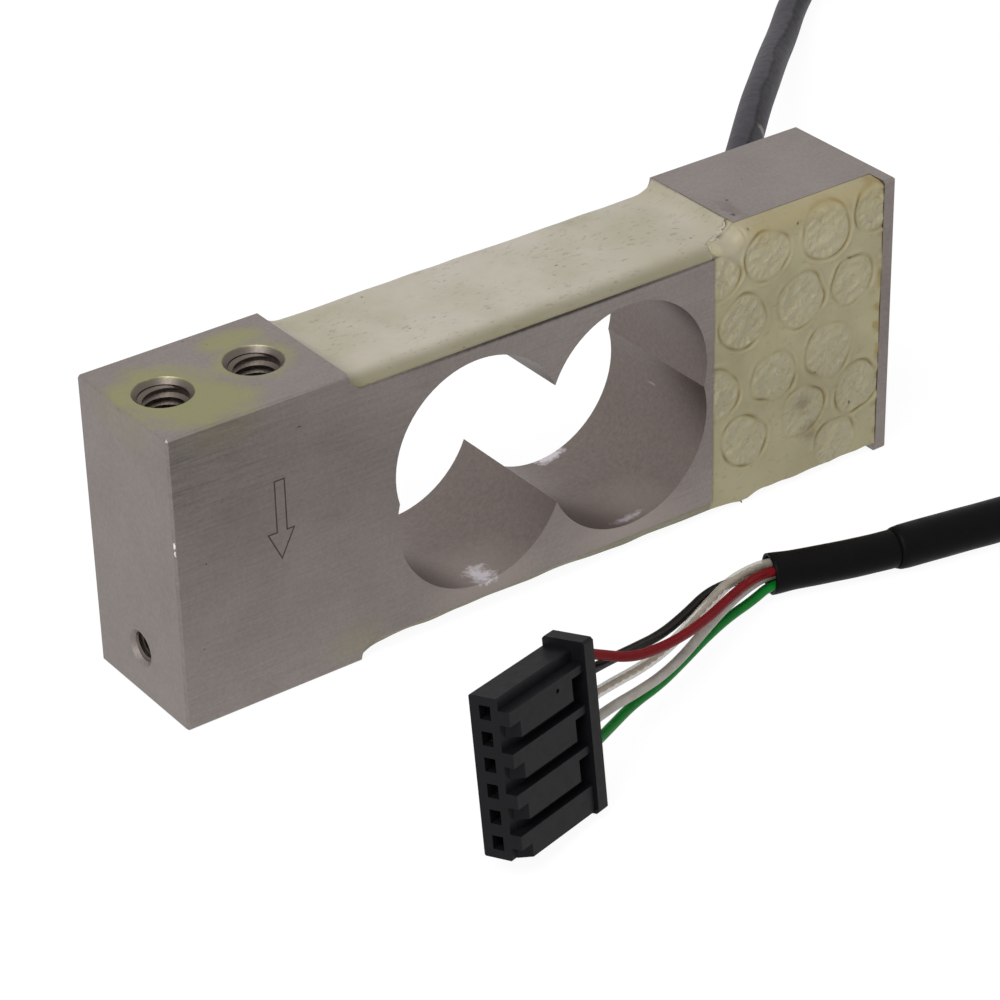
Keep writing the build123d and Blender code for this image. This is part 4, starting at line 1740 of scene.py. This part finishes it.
@dataclass(frozen=True)
class Studio:
    """The white floor, the soft light and the camera at the photograph's place.

    Attributes:
        camera_place: Where the camera stands, in millimetres.
        camera_right: The way its picture's right points.
        camera_up: The way its picture's top points.
        camera_back: The way opposite to its view.
        lens: Its focal length, in millimetres.
        sensor: Its sensor's width, in millimetres.
        lamps: The lamps.
        surround: How bright the even surround is.
        floor_reach: Half the floor's side, in metres.
        floor_seen: How much of the floor's plain white the camera sees; the rest keeps the shadow.
        floor_glow: How bright that white is.
    """

    camera_place: Point = (-183.026, -255.784, 194.117)
    camera_right: Point = (0.80798, -0.58887, -0.02016)
    camera_up: Point = (0.31659, 0.40502, 0.85774)
    camera_back: Point = (-0.49693, -0.69942, 0.51368)
    lens: float = 129.35
    sensor: float = 36.0
    lamps: tuple[Lamp, ...] = (
        Lamp("key", (-0.45, -0.2, 0.8), 0.5, 4.6),
        Lamp("fill", (-0.8, -0.5, 0.3), 0.6, 1.8),
    )
    surround: float = 0.44
    floor_reach: float = 3.0
    floor_seen: float = 0.88
    floor_glow: float = 1.06

    def build(self) -> None:
        """Set up the floor, the light and the camera."""
        bpy.context.scene.view_settings.view_transform = "Standard"
        self.lay_floor()
        self.light_world()
        for lamp in self.lamps:
            self.hang(lamp)
        self.place_camera()

    def seen_share(self, shade: Shade) -> Socket:
        """One for rays that come from the camera or mirror or pass on its view.

        Args:
            shade: The material's tree.

        Returns:
            The share's socket.
        """
        path = shade.add("ShaderNodeLightPath").outputs
        seen = shade.sum("MAXIMUM", path["Is Camera Ray"], path["Is Glossy Ray"])
        return shade.sum("MAXIMUM", seen, path["Is Transmission Ray"])

    def lay_floor(self) -> None:
        """A white floor that keeps a soft shadow."""
        mesh = bmesh.new()
        bmesh.ops.create_grid(mesh, x_segments=1, y_segments=1, size=self.floor_reach)
        data = bpy.data.meshes.new("floor")
        mesh.to_mesh(data)
        mesh.free()
        material = bpy.data.materials.new("white_floor")
        material.use_nodes = True
        nodes = material.node_tree.nodes
        shader = next(node for node in nodes if node.type == "BSDF_PRINCIPLED")
        output = next(node for node in nodes if node.type == "OUTPUT_MATERIAL")
        shader.inputs["Base Color"].default_value = linear("#F2F2F2")
        shader.inputs["Roughness"].default_value = 0.9
        shade = Shade(material.node_tree)
        share = shade.sum("MULTIPLY", self.seen_share(shade), self.floor_seen)
        glow = shade.add("ShaderNodeEmission", {"Color": linear("#FFFFFF"), "Strength": self.floor_glow})
        mixed = shade.add("ShaderNodeMixShader", None, {0: share, 1: shader.outputs[0], 2: glow.outputs[0]})
        shade.tree.links.new(mixed.outputs[0], output.inputs["Surface"])
        data.materials.append(material)
        made = bpy.data.objects.new("floor", data)
        bpy.context.scene.collection.objects.link(made)

    def light_world(self) -> None:
        """An even pale surround that the camera sees as white."""
        world = bpy.data.worlds.new("studio")
        world.use_nodes = True
        world.node_tree.nodes.clear()
        shade = Shade(world.node_tree)
        plain = shade.add("ShaderNodeBackground", {"Color": linear("#FFFFFF"), "Strength": self.surround})
        white = shade.add("ShaderNodeBackground", {"Color": linear("#FFFFFF"), "Strength": 1.0})
        links = {0: self.seen_share(shade), 1: plain.outputs[0], 2: white.outputs[0]}
        mixed = shade.add("ShaderNodeMixShader", None, links)
        shade.add("ShaderNodeOutputWorld", None, {"Surface": mixed.outputs[0]})
        bpy.context.scene.world = world

    def hang(self, lamp: Lamp) -> None:
        """Hang a lamp so that it faces the part.

        Args:
            lamp: The lamp.
        """
        data = bpy.data.lights.new(lamp.name, "AREA")
        data.size = lamp.size
        data.energy = lamp.power
        made = bpy.data.objects.new(lamp.name, data)
        made.location = lamp.place
        made.rotation_mode = "QUATERNION"
        made.rotation_quaternion = (-Vector(lamp.place)).to_track_quat("-Z", "Y")
        bpy.context.scene.collection.objects.link(made)

    def place_camera(self) -> None:
        """The camera that has the photograph's view."""
        data = bpy.data.cameras.new("camera")
        data.lens = self.lens
        data.sensor_width = self.sensor
        data.clip_start, data.clip_end = 0.01, 20.0
        made = bpy.data.objects.new("camera", data)
        turn = Matrix((self.camera_right, self.camera_up, self.camera_back)).transposed()
        made.matrix_world = Matrix.Translation(Vector(self.camera_place) * MM) @ turn.to_4x4()
        bpy.context.scene.collection.objects.link(made)
        bpy.context.scene.camera = made


def main() -> None:
    """Build every sub-assembly in order."""
    logging.basicConfig(level=logging.INFO, format="%(name)s: %(message)s")
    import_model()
    shop = Workshop()
    for node, finish in NODE_FINISHES.items():
        shop.dress(node, finish)
    Beam(shop).build()
    Potting(shop).build()
    Cable(shop).build()
    Studio().build()


if __name__ == "__main__":
    main()
